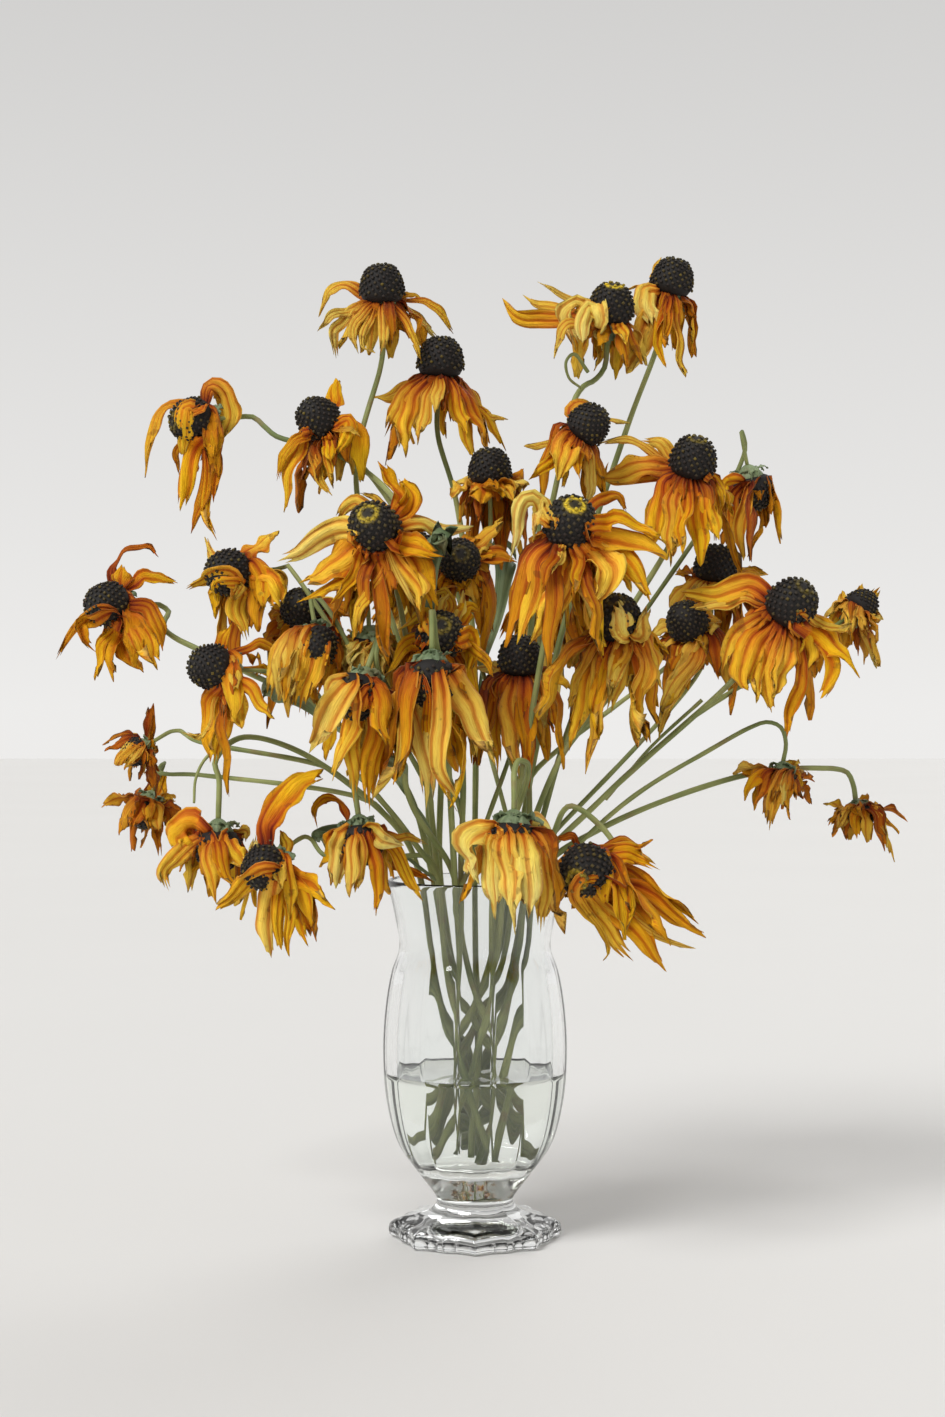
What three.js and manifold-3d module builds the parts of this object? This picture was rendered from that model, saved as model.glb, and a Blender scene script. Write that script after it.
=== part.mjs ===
// A wilted bouquet: black-eyed daisies gone limp, in a footed, fluted glass vase with some water in it.
// Millimetres, +Z up. The origin is the middle of the vase's foot, where it stands on the table, and -Y is
// the front.
import * as THREE from "three";
import { ConvexGeometry } from "three/addons/geometries/ConvexGeometry.js";
import { mergeVertices } from "three/addons/utils/BufferGeometryUtils.js";
import Module from "manifold-3d";

const wasm = await Module();
wasm.setup();

// The camera that took the photograph, worked out from the ellipse of the vase's foot and a vase 200 mm
// tall.
const PHOTO = { focal: 2250, middle: [472.5, 708.5], distance: 1260, eye: [-1.4, 295.4] };

// The vase: its outside from the foot to the rim as [radius, height], its glass, its water and its
// eight-cornered foot.
const VASE = {
  sides: 16,
  outside: [[46.5, 0], [48.5, 3], [47.5, 9], [28, 15], [22, 21], [25, 27], [33, 37], [43, 52],
    [49.5, 76], [51.5, 104], [50, 130], [46.5, 149], [42.5, 160], [43.5, 172], [46.5, 186], [49.5, 200]],
  wall: 4,
  floor: 45,
  footTop: 12,
  waterLevel: 92,
};
const FLAT_OF_OCTAGON = Math.cos(Math.PI / 8);
const topOfVase = VASE.outside[VASE.outside.length - 1][1];

// A flower head of size 1: the ring that the petals grow from, and its green cup and dark cone as [radius,
// height].
const HEAD = { sides: 6, ring: 6.5, cone: [[3.4, -8], [12.6, 3], [10.8, 13]], tip: 19.5 };
const PETAL = { bend: 0.5, ridge: 2.2, spread: 26 };
const STEM = { radius: 2.2, sideRadius: 1.7, sides: 4, samples: 44, sideSamples: 20, chord: 1.6 };
const CLEAR = { stems: 7, cone: 18, glass: 3.2, gap: 0.35, detail: 0.15 };
const SETTLING = { rounds: 72, step: 0.45 };

// Each flower: the photograph's pixel at the middle of its petal ring, its depth behind the vase's axis in
// mm, the way its cone points, its size and petal width, and the pixels where its petals end, left to
// right: first those of the near or lower half of the ring, then those of the far or upper half. Where
// petals cross, the earlier flower stays whole.
const FLOWERS = {
  flower_12: { at: [568, 532], depth: -92, faces: [0.15, -0.75, 0.65], size: 1.08, width: 14,
    near: [[508, 562], [517, 645], [532, 646], [556, 602], [612, 592], [648, 603], [668, 562]],
    far: [[540, 541], [555, 500], [668, 545]] },
  flower_28: { at: [513, 829], depth: -112, faces: [-0.05, -0.15, -1], size: 1.05, width: 15,
    near: [[478, 886], [496, 920], [516, 934], [528, 918], [541, 933]],
    far: [[468, 850], [551, 838], [557, 933], [553, 900]] },
  flower_19: { at: [432, 668], depth: -98, faces: [0, -0.25, -1], size: 1.05, width: 12,
    near: [[379, 803], [427, 812], [446, 800], [458, 812], [489, 768]],
    far: [[400, 760], [432, 795], [462, 813], [484, 738]] },
  flower_10: { at: [377, 535], depth: -72, faces: [-0.2, -0.82, 0.5], size: 1.08, width: 13,
    near: [[278, 563], [298, 603], [335, 601], [350, 636], [395, 600], [424, 613], [440, 556]],
    far: [[336, 521], [396, 500], [378, 461], [476, 526]] },
  flower_16: { at: [785, 612], depth: -40, faces: [0.45, -0.6, 0.65], size: 1.08, width: 13,
    near: [[722, 676], [745, 690], [757, 703], [768, 710], [788, 672], [808, 668], [823, 698], [862, 676]],
    far: [[680, 591], [690, 612], [788, 737], [852, 631]] },
  flower_29: { at: [590, 866], depth: -82, faces: [-0.38, -0.85, -0.3], size: 1.1, width: 11,
    near: [[603, 958], [634, 962], [652, 955], [667, 973], [672, 957]],
    far: [[553, 836], [625, 832], [654, 843], [661, 868], [683, 900], [697, 934], [707, 938]] },
  flower_20: { at: [362, 684], depth: -92, faces: [-0.3, -0.35, -0.9], size: 1, width: 14,
    near: [[311, 755], [341, 782], [354, 805], [372, 812], [384, 760]],
    far: [[318, 735], [335, 750], [378, 712]] },
  flower_26: { at: [272, 862], depth: -62, faces: [-0.5, -0.6, -0.4], size: 0.95, width: 15,
    near: [[218, 911], [266, 955], [277, 957], [290, 955], [312, 948], [336, 907]],
    far: [[258, 834], [321, 765], [284, 836]] },
  flower_15: { at: [440, 640], depth: -62, faces: [0.05, -0.9, 0.4], size: 1, width: 11,
    near: [[384, 684], [405, 680], [465, 652], [497, 676]],
    far: [[398, 618], [412, 610], [452, 587], [462, 590], [480, 612]] },
  flower_18: { at: [618, 628], depth: -62, faces: [-0.1, -0.6, 0.75], size: 1, width: 10,
    near: [[543, 722], [570, 752], [588, 775], [606, 700], [628, 748], [660, 690]],
    far: [[585, 640], [636, 668], [644, 640], [668, 655]] },
  flower_27: { at: [360, 831], depth: -55, faces: [0.1, -0.2, -0.95], size: 0.95, width: 12,
    near: [[333, 892], [345, 893], [358, 890], [378, 915], [400, 868], [422, 902]],
    far: [[320, 832], [430, 843], [431, 880]] },
  flower_25: { at: [218, 836], depth: -35, faces: [0, -0.1, -1], size: 1, width: 13,
    near: [[163, 850], [170, 892], [189, 877], [219, 903], [234, 889], [247, 866]],
    far: [[160, 826], [246, 840], [256, 852]] },
  flower_14: { at: [222, 668], depth: -58, faces: [-0.9, -0.35, 0.1], size: 0.95, width: 11,
    near: [[183, 731], [201, 755], [214, 766], [232, 748], [247, 720], [277, 718]],
    far: [[222, 645], [286, 653], [289, 686], [258, 755]] },
  flower_08: { at: [691, 470], depth: -20, faces: [0.15, -0.45, 0.88], size: 1, width: 12,
    near: [[655, 548], [673, 568], [688, 556], [700, 566], [712, 560], [720, 542]],
    far: [[598, 443], [602, 478], [727, 512]] },
  flower_13: { at: [118, 605], depth: 12, faces: [-0.75, -0.6, 0], size: 1, width: 12,
    near: [[57, 660], [97, 682], [107, 680], [140, 674], [157, 672], [165, 648]],
    far: [[80, 612], [160, 556], [178, 584]] },
  flower_02: { at: [610, 317], depth: 0, faces: [0.1, -0.45, 0.9], size: 1, width: 15,
    near: [[556, 359], [575, 351], [604, 351], [626, 346]], far: [[499, 298], [521, 294], [537, 282]] },
  flower_06: { at: [440, 372], depth: 45, faces: [0.05, -0.15, 1], size: 1.05, width: 12,
    near: [[384, 439], [408, 455], [422, 447], [470, 434], [471, 460], [483, 450], [510, 450]],
    far: [[377, 400], [395, 410], [485, 440], [508, 417]] },
  flower_04: { at: [203, 420], depth: 15, faces: [-0.85, -0.45, -0.1], size: 1, width: 13,
    near: [[146, 478], [180, 512], [190, 533], [216, 543]], far: [[172, 465], [213, 498], [226, 453]] },
  flower_01: { at: [382, 298], depth: 35, faces: [0, -0.25, 1], size: 1, width: 9,
    near: [[317, 333], [335, 356], [360, 352], [374, 357], [381, 358], [424, 357], [438, 340]],
    far: [[317, 318], [455, 333]] },
  flower_05: { at: [325, 426], depth: 0, faces: [-0.6, -0.5, 0.6], size: 0.95, width: 12,
    near: [[281, 511], [331, 495], [337, 488], [348, 452], [361, 440]],
    far: [[300, 470], [334, 378], [352, 425]] },
  flower_07: { at: [582, 432], depth: -25, faces: [0.55, -0.35, 0.6], size: 0.9, width: 12,
    near: [[523, 447], [556, 482], [566, 486], [593, 505]], far: [[564, 408], [598, 436], [632, 421]] },
  flower_11: { at: [238, 572], depth: -28, faces: [-0.7, -0.65, -0.1], size: 1, width: 12,
    near: [[187, 591], [217, 603], [233, 598], [247, 642], [279, 610]],
    far: [[203, 536], [264, 528], [279, 530], [297, 540]] },
  flower_21: { at: [316, 638], depth: -64, faces: [0.1, -0.5, -0.7], size: 0.9, width: 13,
    near: [[270, 701], [285, 706], [299, 713], [320, 697]], far: [[288, 660], [306, 622], [345, 672]] },
  flower_03: { at: [670, 290], depth: 30, faces: [0.2, -0.2, 0.95], size: 0.95, width: 12,
    near: [[628, 374], [652, 345], [668, 372], [682, 378]], far: [[632, 288], [659, 256], [691, 323]] },
  flower_22: { at: [369, 640], depth: -50, faces: [0, 0.2, -0.95], size: 0.85, width: 10,
    near: [[338, 668], [347, 670], [376, 680], [384, 678]], far: [[352, 645], [388, 655]] },
  flower_09: { at: [750, 480], depth: 45, faces: [0.2, 0.2, -0.9], size: 0.95, width: 10,
    near: [[723, 500], [727, 562], [741, 560], [752, 557]], far: [[735, 545], [756, 552], [766, 520]] },
  flower_36: { at: [690, 628], depth: -12, faces: [-0.3, -0.6, 0.5], size: 0.9, width: 11,
    near: [[663, 650], [672, 672], [655, 740], [704, 655]], far: [[650, 640], [680, 603], [722, 622]] },
  flower_37: { at: [458, 562], depth: -28, faces: [0.1, -0.9, 0.2], size: 0.9, width: 11,
    near: [[420, 577], [442, 592], [462, 590], [478, 600]],
    far: [[430, 545], [470, 548], [505, 520], [518, 562]] },
  flower_35: { at: [520, 668], depth: -25, faces: [0, -0.3, 0.8], size: 0.95, width: 10,
    near: [[497, 775], [515, 780], [530, 790], [545, 748]],
    far: [[475, 668], [500, 690], [558, 720], [575, 692]] },
  flower_34: { at: [490, 480], depth: 25, faces: [0, -0.2, 0.9], size: 0.95, width: 11,
    near: [[452, 500], [480, 505], [514, 502], [530, 484]], far: [[455, 480], [500, 465], [524, 470]] },
  flower_38: { at: [304, 612], depth: -8, faces: [-0.2, -0.85, 0.3], size: 0.9, width: 10,
    near: [[262, 650], [280, 640], [345, 642]], far: [[270, 606], [298, 592], [340, 608], [356, 622]] },
  flower_33: { at: [714, 576], depth: 32, faces: [0.1, -0.3, 0.9], size: 0.95, width: 11,
    near: [[668, 614], [690, 618], [736, 618], [752, 604]], far: [[675, 575], [730, 552], [768, 575]] },
  flower_17: { at: [856, 610], depth: 30, faces: [0.7, 0.4, 0.5], size: 0.75, width: 8,
    near: [[822, 617], [851, 634], [880, 642]], far: [[842, 592], [861, 586], [880, 588], [884, 618]] },
  flower_30: { at: [782, 772], depth: 10, faces: [-0.1, -0.1, -0.95], size: 0.65, width: 8,
    near: [[746, 796], [755, 806], [768, 831], [787, 820], [798, 800]],
    far: [[738, 773], [813, 785], [799, 760]] },
  flower_31: { at: [858, 809], depth: 38, faces: [0.2, -0.2, -0.9], size: 0.65, width: 8,
    near: [[828, 826], [838, 822], [855, 838], [884, 852], [895, 862]],
    far: [[823, 803], [880, 804], [908, 822]] },
  flower_23: { at: [142, 748], depth: 25, faces: [-0.7, -0.3, -0.4], size: 0.65, width: 7,
    near: [[101, 742], [105, 752], [115, 765], [124, 770], [152, 768]],
    far: [[128, 736], [157, 703], [156, 742]] },
  flower_24: { at: [148, 803], depth: 62, faces: [-0.3, -0.2, -0.8], size: 0.8, width: 10,
    near: [[100, 806], [118, 835], [130, 833], [158, 830], [183, 814]],
    far: [[117, 801], [165, 772], [176, 795]] },
  flower_39: { at: [420, 560], depth: 105, faces: [-0.3, 0.6, 0.7], size: 1, width: 12,
    near: [[370, 600], [400, 640], [440, 650], [470, 610]],
    far: [[350, 600], [385, 650], [425, 665], [455, 655], [480, 620]] },
  flower_40: { at: [560, 590], depth: 112, faces: [0.35, 0.65, 0.6], size: 1, width: 12,
    near: [[515, 640], [545, 680], [580, 680], [610, 640]],
    far: [[500, 640], [530, 690], [565, 705], [600, 690], [625, 650]] },
};

// Each stem: the flower at its end and the pixels and depths it passes on the way, and its side shoots. A
// side shoot leaves the stem at the given share of its length. Stems come to hanging heads from above.
const STEMS = {
  stem_01: { to: "flower_01", by: [[420, 720, 20], [356, 480, 28]], shoots: [] },
  stem_02: { to: "flower_04", by: [[440, 700, 0], [404, 515, -12], [345, 458, 10], [272, 434, 20]],
    shoots: [{ to: "flower_05", from: 0.66, by: [] }] },
  stem_03: { to: "flower_06", by: [[474, 650, 40], [456, 500, 44]],
    shoots: [{ to: "flower_34", from: 0.62, by: [] }] },
  stem_04: { to: "flower_02", by: [[530, 640, 0], [566, 440, -2], [578, 392, 0]],
    shoots: [{ to: "flower_07", from: 0.66, by: [] }] },
  stem_05: { to: "flower_03", by: [[560, 640, 30], [628, 425, 34]],
    shoots: [{ to: "flower_33", from: 0.42, by: [] }] },
  stem_06: { to: "flower_08", by: [[580, 700, 0]],
    shoots: [{ to: "flower_09", from: 0.6, by: [[745, 452, 48]] }] },
  stem_07: { to: "flower_10", by: [[420, 720, -35]],
    shoots: [{ to: "flower_11", from: 0.55, by: [[290, 568, -22]] }] },
  stem_08: { to: "flower_12", by: [[530, 720, -45]], shoots: [{ to: "flower_37", from: 0.55, by: [] }] },
  stem_09: { to: "flower_13", by: [[400, 780, -10], [300, 700, -10], [210, 655, 5], [165, 630, 12]],
    shoots: [{ to: "flower_14", from: 0.6, by: [] }] },
  stem_10: { to: "flower_15", by: [[460, 740, -45]],
    shoots: [{ to: "flower_22", from: 0.6, by: [[385, 625, -46]] }] },
  stem_11: { to: "flower_16", by: [[600, 800, -12], [735, 678, -30]],
    shoots: [{ to: "flower_17", from: 0.75, by: [] }] },
  stem_12: { to: "flower_18", by: [[560, 760, -35]], shoots: [{ to: "flower_36", from: 0.45, by: [] }] },
  stem_13: { to: "flower_19", by: [[450, 780, -55], [445, 680, -66], [436, 640, -88]],
    shoots: [{ to: "flower_35", from: 0.4, by: [] }] },
  stem_14: { to: "flower_20", by: [[410, 800, -52], [392, 700, -70], [376, 660, -86]],
    shoots: [{ to: "flower_21", from: 0.66, by: [[330, 612, -58]] }] },
  stem_15: { to: "flower_25", by: [[400, 830, -15], [300, 752, -15], [240, 738, -22], [215, 762, -32]],
    shoots: [
      { to: "flower_23", from: 0.66, by: [[200, 742, 5]] },
      { to: "flower_24", from: 0.58, by: [[200, 775, 45], [158, 772, 60]] },
    ] },
  stem_16: { to: "flower_27", by: [[420, 850, -35], [385, 805, -46]],
    shoots: [{ to: "flower_26", from: 0.62, by: [[330, 848, -55]] }] },
  stem_17: { to: "flower_28", by: [[508, 840, -60], [528, 778, -84], [526, 762, -100]],
    shoots: [{ to: "flower_40", from: 0.42, by: [[540, 700, 40]] }] },
  stem_18: { to: "flower_29", by: [[545, 850, -35], [570, 806, -50]], shoots: [] },
  stem_19: { to: "flower_31", by: [[600, 828, 10], [745, 775, 25], [815, 768, 34]],
    shoots: [{ to: "flower_30", from: 0.36, by: [[620, 808, 8], [700, 756, 6],
      [770, 722, 6]] }, { to: "flower_39", from: 0.3, by: [[480, 720, 70]] }] },
};

const LEAVES = {
  stem_07: { at: 0.62, tip: [438, 548, -75], width: 20 },
  stem_09: { at: 0.5, tip: [262, 702, -30], width: 20 },
  stem_14: { at: 0.55, tip: [378, 768, -70], width: 15 },
  stem_16: { at: 0.6, tip: [306, 842, -42], width: 14 },
  stem_03: { at: 0.45, tip: [505, 560, 60], width: 18 },
};

const COLOURS = {
  glass: { color: 0xdfe8ea, roughness: 0.03, metalness: 0, transparent: true, opacity: 0.35 },
  water: { color: 0xcdd6c4, roughness: 0.02, metalness: 0, transparent: true, opacity: 0.4 },
  stem: { color: 0x5d6b34, roughness: 0.7, metalness: 0 },
  flower: { color: 0xd98a12, roughness: 0.65, metalness: 0 },
};

const DOWN = new THREE.Vector3(0, 0, -1);
const SIGNS = [-1, 1];
const CORNERS = SIGNS.flatMap((x) => SIGNS.flatMap((y) => SIGNS.map((z) => new THREE.Vector3(x, y, z))));
const vector = (a) => new THREE.Vector3(...a);

// The place in space of a pixel of the photograph at a given depth.
function place([column, row], depth) {
  const perPixel = (PHOTO.distance + depth) / PHOTO.focal;
  return new THREE.Vector3(
    PHOTO.eye[0] + (column - PHOTO.middle[0]) * perPixel,
    depth,
    PHOTO.eye[1] - (row - PHOTO.middle[1]) * perPixel,
  );
}

// The solid that follows a row of rings of points: the hulls of each ring with the next one, joined.
function follow(rings) {
  return union(rings.slice(1).map((ring, i) => solidOf(new ConvexGeometry([...rings[i], ...ring]))));
}

// Corners of small cubes around points. A cutter is made of them, so that what it cuts keeps a gap to the
// solid.
function around(points, gap) {
  if (!gap) return points;
  return points.flatMap((point) => CORNERS.map((corner) => point.clone().addScaledVector(corner, gap)));
}

function solidOf(geometry) {
  const bare = geometry.clone();
  for (const name of Object.keys(bare.attributes)) if (name !== "position") bare.deleteAttribute(name);
  const merged = mergeVertices(bare, 1e-3);
  return new wasm.Manifold(
    new wasm.Mesh({
      numProp: 3,
      vertProperties: new Float32Array(merged.attributes.position.array),
      triVerts: new Uint32Array(merged.index.array),
    }),
  );
}

function meshOf(name, solid, colour) {
  const { vertProperties, triVerts } = solid.getMesh();
  const geometry = new THREE.BufferGeometry();
  geometry.setAttribute("position", new THREE.BufferAttribute(new Float32Array(vertProperties), 3));
  geometry.setIndex(new THREE.BufferAttribute(new Uint32Array(triVerts), 1));
  const mesh = new THREE.Mesh(geometry, new THREE.MeshStandardMaterial(colour));
  mesh.name = name;
  return mesh;
}

const union = (solids) => wasm.Manifold.union(solids);
const largest = (solid) => solid.decompose().reduce((a, b) => (b.volume() > a.volume() ? b : a));

// Vase and water.

// The radius of the vase's outside at a height, between the points of its outline.
function outsideRadius(height) {
  const outline = VASE.outside;
  const i = Math.max(1, outline.findIndex(([, z]) => z >= height));
  const [[r0, z0], [r1, z1]] = [outline[i - 1], outline[i]];
  return r0 + ((r1 - r0) * (height - z0)) / (z1 - z0);
}

// A turned solid of flat panels, stood upright.
function turned(profile) {
  const geometry = new THREE.LatheGeometry(profile.map(([r, z]) => new THREE.Vector2(r, z)), VASE.sides);
  geometry.rotateX(Math.PI / 2);
  return geometry;
}

function insideProfile(top, gap) {
  const heights = VASE.outside.map(([, z]) => z).filter((z) => z > VASE.floor + 4 && z < top);
  const points = [[outsideRadius(VASE.floor) - VASE.wall - 9 - gap, VASE.floor + gap]];
  for (const z of [...heights, top]) points.push([outsideRadius(z) - VASE.wall - gap, z]);
  return points;
}

function makeVase() {
  const inside = insideProfile(topOfVase, 0).reverse();
  const geometry = turned([[0, 0], ...VASE.outside, ...inside, [0, VASE.floor]]);
  const position = geometry.attributes.position;
  const corner = (2 * Math.PI) / 8;
  for (let i = 0; i < position.count; i++) {
    const [x, y, z] = [position.getX(i), position.getY(i), position.getZ(i)];
    const turn = Math.abs(Math.atan2(y, x) / corner - Math.round(Math.atan2(y, x) / corner));
    if (z < VASE.footTop && turn < 0.25) continue;
    if (z < VASE.footTop) position.setXYZ(i, x * FLAT_OF_OCTAGON, y * FLAT_OF_OCTAGON, z);
  }
  return solidOf(geometry);
}

function makeWater(stems) {
  const side = insideProfile(VASE.waterLevel, CLEAR.gap);
  const profile = [[0, VASE.floor + CLEAR.gap], ...side, [0, VASE.waterLevel]];
  return largest(solidOf(turned(profile)).subtract(union(stems)).simplify(CLEAR.detail));
}

// Flowers.

// The middle of a flower's petal ring, the way its cone points, and two directions across the ring: right,
// and far or up.
function frameOf({ at, depth, faces }) {
  const middle = place(at, depth);
  const axis = vector(faces).normalize();
  const right = new THREE.Vector3(1, 0, 0).addScaledVector(axis, -axis.x).normalize();
  const far = axis.clone().cross(right);
  if (far.y + far.z < 0) far.negate();
  return { middle, axis, right, far };
}

// A petal's midrib: it leaves the ring sideways and ends at its tip, hanging the more the further the tip
// is below.
function midrib(frame, angle, tip, flower) {
  const out = frame.right.clone().multiplyScalar(Math.cos(angle)).addScaledVector(frame.far, Math.sin(angle));
  const ring = frame.middle.clone().addScaledVector(frame.axis, -flower.size);
  const start = ring.addScaledVector(out, HEAD.ring * flower.size);
  const end = place(tip, flower.depth + out.y * PETAL.spread * flower.size);
  const chord = end.clone().sub(start);
  const length = chord.length();
  const hang = THREE.MathUtils.clamp(0.3 - chord.z / length, 0, 1.2);
  const arrival = chord.clone().divideScalar(length).addScaledVector(DOWN, hang).normalize();
  const curve = new THREE.CubicBezierCurve3(
    start,
    start.clone().addScaledVector(out, 0.36 * length),
    end.clone().addScaledVector(arrival, -0.4 * length),
    end,
  );
  return { curve, across: frame.axis.clone().cross(out).normalize() };
}

function midribs(flower) {
  const frame = frameOf(flower);
  const half = (tips, sign) =>
    tips.map((tip, i) => midrib(frame, Math.PI * (1 + (sign * (i + 0.5)) / tips.length), tip, flower));
  return [...half(flower.near, 1), ...half(flower.far, -1)];
}

// One folded petal: it widens from its root to the bend of its midrib, where it has a ridge, and ends in a
// point.
function petal({ curve, across }, width, gap) {
  const along = curve.getTangent(PETAL.bend);
  const side = across.clone().addScaledVector(along, -across.dot(along)).setLength(width / 2);
  const ridge = along.clone().cross(side).setLength(PETAL.ridge);
  const bend = curve.getPoint(PETAL.bend);
  const section = [bend.clone().add(side), bend.clone().sub(side), bend.clone().add(ridge)];
  return follow([[curve.getPoint(0)], section, [curve.getPoint(1)]].map((ring) => around(ring, gap)));
}

function coneOf(flower, gap) {
  const { middle, axis, right, far } = frameOf(flower);
  const ring = ([radius, height]) => {
    const points = [];
    for (let i = 0; i < HEAD.sides; i++) {
      const turn = (2 * Math.PI * i) / HEAD.sides;
      const reach = radius * flower.size;
      points.push(
        middle.clone()
          .addScaledVector(right, reach * Math.cos(turn))
          .addScaledVector(far, reach * Math.sin(turn))
          .addScaledVector(axis, height * flower.size),
      );
    }
    return points;
  };
  const tip = middle.clone().addScaledVector(axis, HEAD.tip * flower.size);
  return follow([around(HEAD.cone.flatMap(ring), gap), around([tip], gap)]);
}

function headOf(flower, gap) {
  const petals = midribs(flower).map((rib) => petal(rib, flower.width, gap));
  return union([coneOf(flower, gap), ...petals]);
}

// Stems.

function sample(curve, count) {
  return Array.from({ length: count + 1 }, (_, i) => curve.getPointAt(i / count));
}

// The last two points of a stem: a little behind the head, and at the bottom of its cup.
function arrivalAt(flower) {
  const { middle, axis } = frameOf(flower);
  const cup = HEAD.cone[0][1] * flower.size - CLEAR.gap;
  return [cup - 24 * flower.size, cup].map((height) => middle.clone().addScaledVector(axis, height));
}

// A stem from the floor of the vase through its neck, which it passes on the side that its flower is on.
function mainPath({ to, by }, order) {
  const flower = FLOWERS[to];
  const route = by.map(([column, row, depth]) => place([column, row], depth));
  const lead = route[0].clone().setZ(0);
  const side = lead.clone().multiplyScalar(Math.min(1, 30 / lead.length()));
  const turn = 2.4 * order;
  const spiral = new THREE.Vector3(Math.cos(turn), Math.sin(turn), 0).multiplyScalar(5 * Math.sqrt(order));
  const foot = spiral.addScaledVector(side, -0.3);
  const neck = side.clone().multiplyScalar(0.8).addScaledVector(foot, 0.25);
  const points = [
    foot.clone().setZ(VASE.floor + 2.5 + (order % 4) * 1.8),
    foot.clone().lerp(neck, 0.45).setZ(100),
    neck.clone().setZ(162),
    neck.clone().addScaledVector(side, 0.25).setZ(203),
    ...route,
    ...arrivalAt(flower),
  ];
  return sample(new THREE.CatmullRomCurve3(points, false, "centripetal"), STEM.samples);
}

function shootPath({ to, from, by }, mainPoints) {
  const share = from * (mainPoints.length - 1);
  const i = Math.floor(share);
  const fork = mainPoints[i].clone();
  const lead = mainPoints[i + 1].clone().sub(mainPoints[i]).normalize();
  const points = [
    fork,
    fork.clone().addScaledVector(lead, 12),
    ...by.map(([column, row, depth]) => place([column, row], depth)),
    ...arrivalAt(FLOWERS[to]),
  ];
  return sample(new THREE.CatmullRomCurve3(points, false, "centripetal"), STEM.sideSamples);
}

// Pushes stems apart, and away from the cones and the glass, with each push spread smoothly along the stem.
// A stem keeps its last points, where its flower is, and a side shoot keeps its first ones too.
function settle(paths, fixed, cones, held) {
  const moved = paths.map((path) => path.points.map(() => new THREE.Vector3()));
  const now = () => paths.map((path, p) => path.points.map((point, i) => point.clone().add(moved[p][i])));
  for (let round = 0; round < SETTLING.rounds; round++) {
    const places = now();
    places.forEach((points, p) => {
      const pushes = points.map(() => new THREE.Vector3());
      const free = places.filter((other, q) => q !== p).map((other) => ({ points: other, parent: false }));
      const still = fixed.map((path) => ({ points: path.points, parent: path.name === paths[p].name }));
      points.forEach((point, i) => {
        for (const other of [...free, ...still]) {
          if (other.parent && i < held.first + 4) continue;
          for (const there of other.points) {
            const away = point.clone().sub(there);
            const distance = away.length();
            const short = CLEAR.stems - distance;
            if (short > 0 && distance > 1e-6) pushes[i].addScaledVector(away, short / distance);
          }
        }
        for (const cone of cones) {
          if (cone.name === paths[p].to) continue;
          const away = point.clone().sub(cone.middle);
          const distance = away.length();
          const short = cone.reach - distance;
          if (short > 0) pushes[i].addScaledVector(away, (2 * short) / distance);
        }
      });
      pushes.forEach((push, i) => {
        if (i > held.first && i < points.length - 4) moved[p][i].addScaledVector(push, SETTLING.step);
      });
      for (let pass = 0; pass < 2; pass++) {
        const before = moved[p].map((m) => m.clone());
        for (let i = held.first + 1; i < points.length - 3; i++) {
          const previous = before[Math.max(0, i - 1)];
          const neighbours = previous.clone().add(before[i + 1]);
          moved[p][i].multiplyScalar(0.5).addScaledVector(neighbours, 0.25);
        }
      }
      points.forEach((point, i) => {
        const inside = paths[p].points[i].clone().add(moved[p][i]);
        if (inside.z > topOfVase) return;
        const limit = outsideRadius(Math.max(inside.z, VASE.floor + 8)) - VASE.wall - CLEAR.glass;
        const radius = Math.hypot(inside.x, inside.y);
        if (radius > limit) moved[p][i].addScaledVector(inside.setZ(0), limit / radius - 1);
      });
    });
  }
  return now();
}

// The fewest points of a path that stay within the chord tolerance of it.
function simplify(points, tolerance) {
  const [first, last] = [points[0], points[points.length - 1]];
  const line = new THREE.Line3(first, last);
  let worst = 0;
  let at = 0;
  points.forEach((point, i) => {
    const off = line.closestPointToPoint(point, true, new THREE.Vector3()).distanceTo(point);
    if (off > worst) [worst, at] = [off, i];
  });
  if (worst <= tolerance) return [first, last];
  const before = simplify(points.slice(0, at + 1), tolerance);
  return [...before.slice(0, -1), ...simplify(points.slice(at), tolerance)];
}

// A tube along points, with its section carried along without twist.
function tube(points, radius, gap) {
  let across = new THREE.Vector3(0, 1, 0);
  const rings = points.map((point, i) => {
    const next = points[Math.min(i + 1, points.length - 1)];
    const along = next.clone().sub(points[Math.max(i - 1, 0)]).normalize();
    across = across.clone().addScaledVector(along, -across.dot(along)).normalize();
    const other = along.clone().cross(across);
    return Array.from({ length: STEM.sides }, (_, k) => {
      const turn = (2 * Math.PI * k) / STEM.sides;
      const reach = across.clone().multiplyScalar(Math.cos(turn)).addScaledVector(other, Math.sin(turn));
      return point.clone().addScaledVector(reach, radius + (gap ?? 0) / Math.cos(Math.PI / STEM.sides));
    });
  });
  return follow([around(rings[0], gap), ...rings.slice(1, -1), around(rings[rings.length - 1], gap)]);
}

// A limp leaf: a folded strip from the stem to its tip.
function leaf(spot, { tip, width }, gap) {
  const end = place(tip, tip[2]);
  const chord = end.clone().sub(spot);
  const rise = spot.clone().addScaledVector(chord, 0.3).addScaledVector(DOWN, -0.18 * chord.length());
  const above = end.clone().addScaledVector(DOWN, -0.25 * chord.length());
  const curve = new THREE.CubicBezierCurve3(spot, rise, above, end);
  const across = chord.clone().cross(DOWN).normalize();
  return petal({ curve, across }, width, gap);
}

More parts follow.
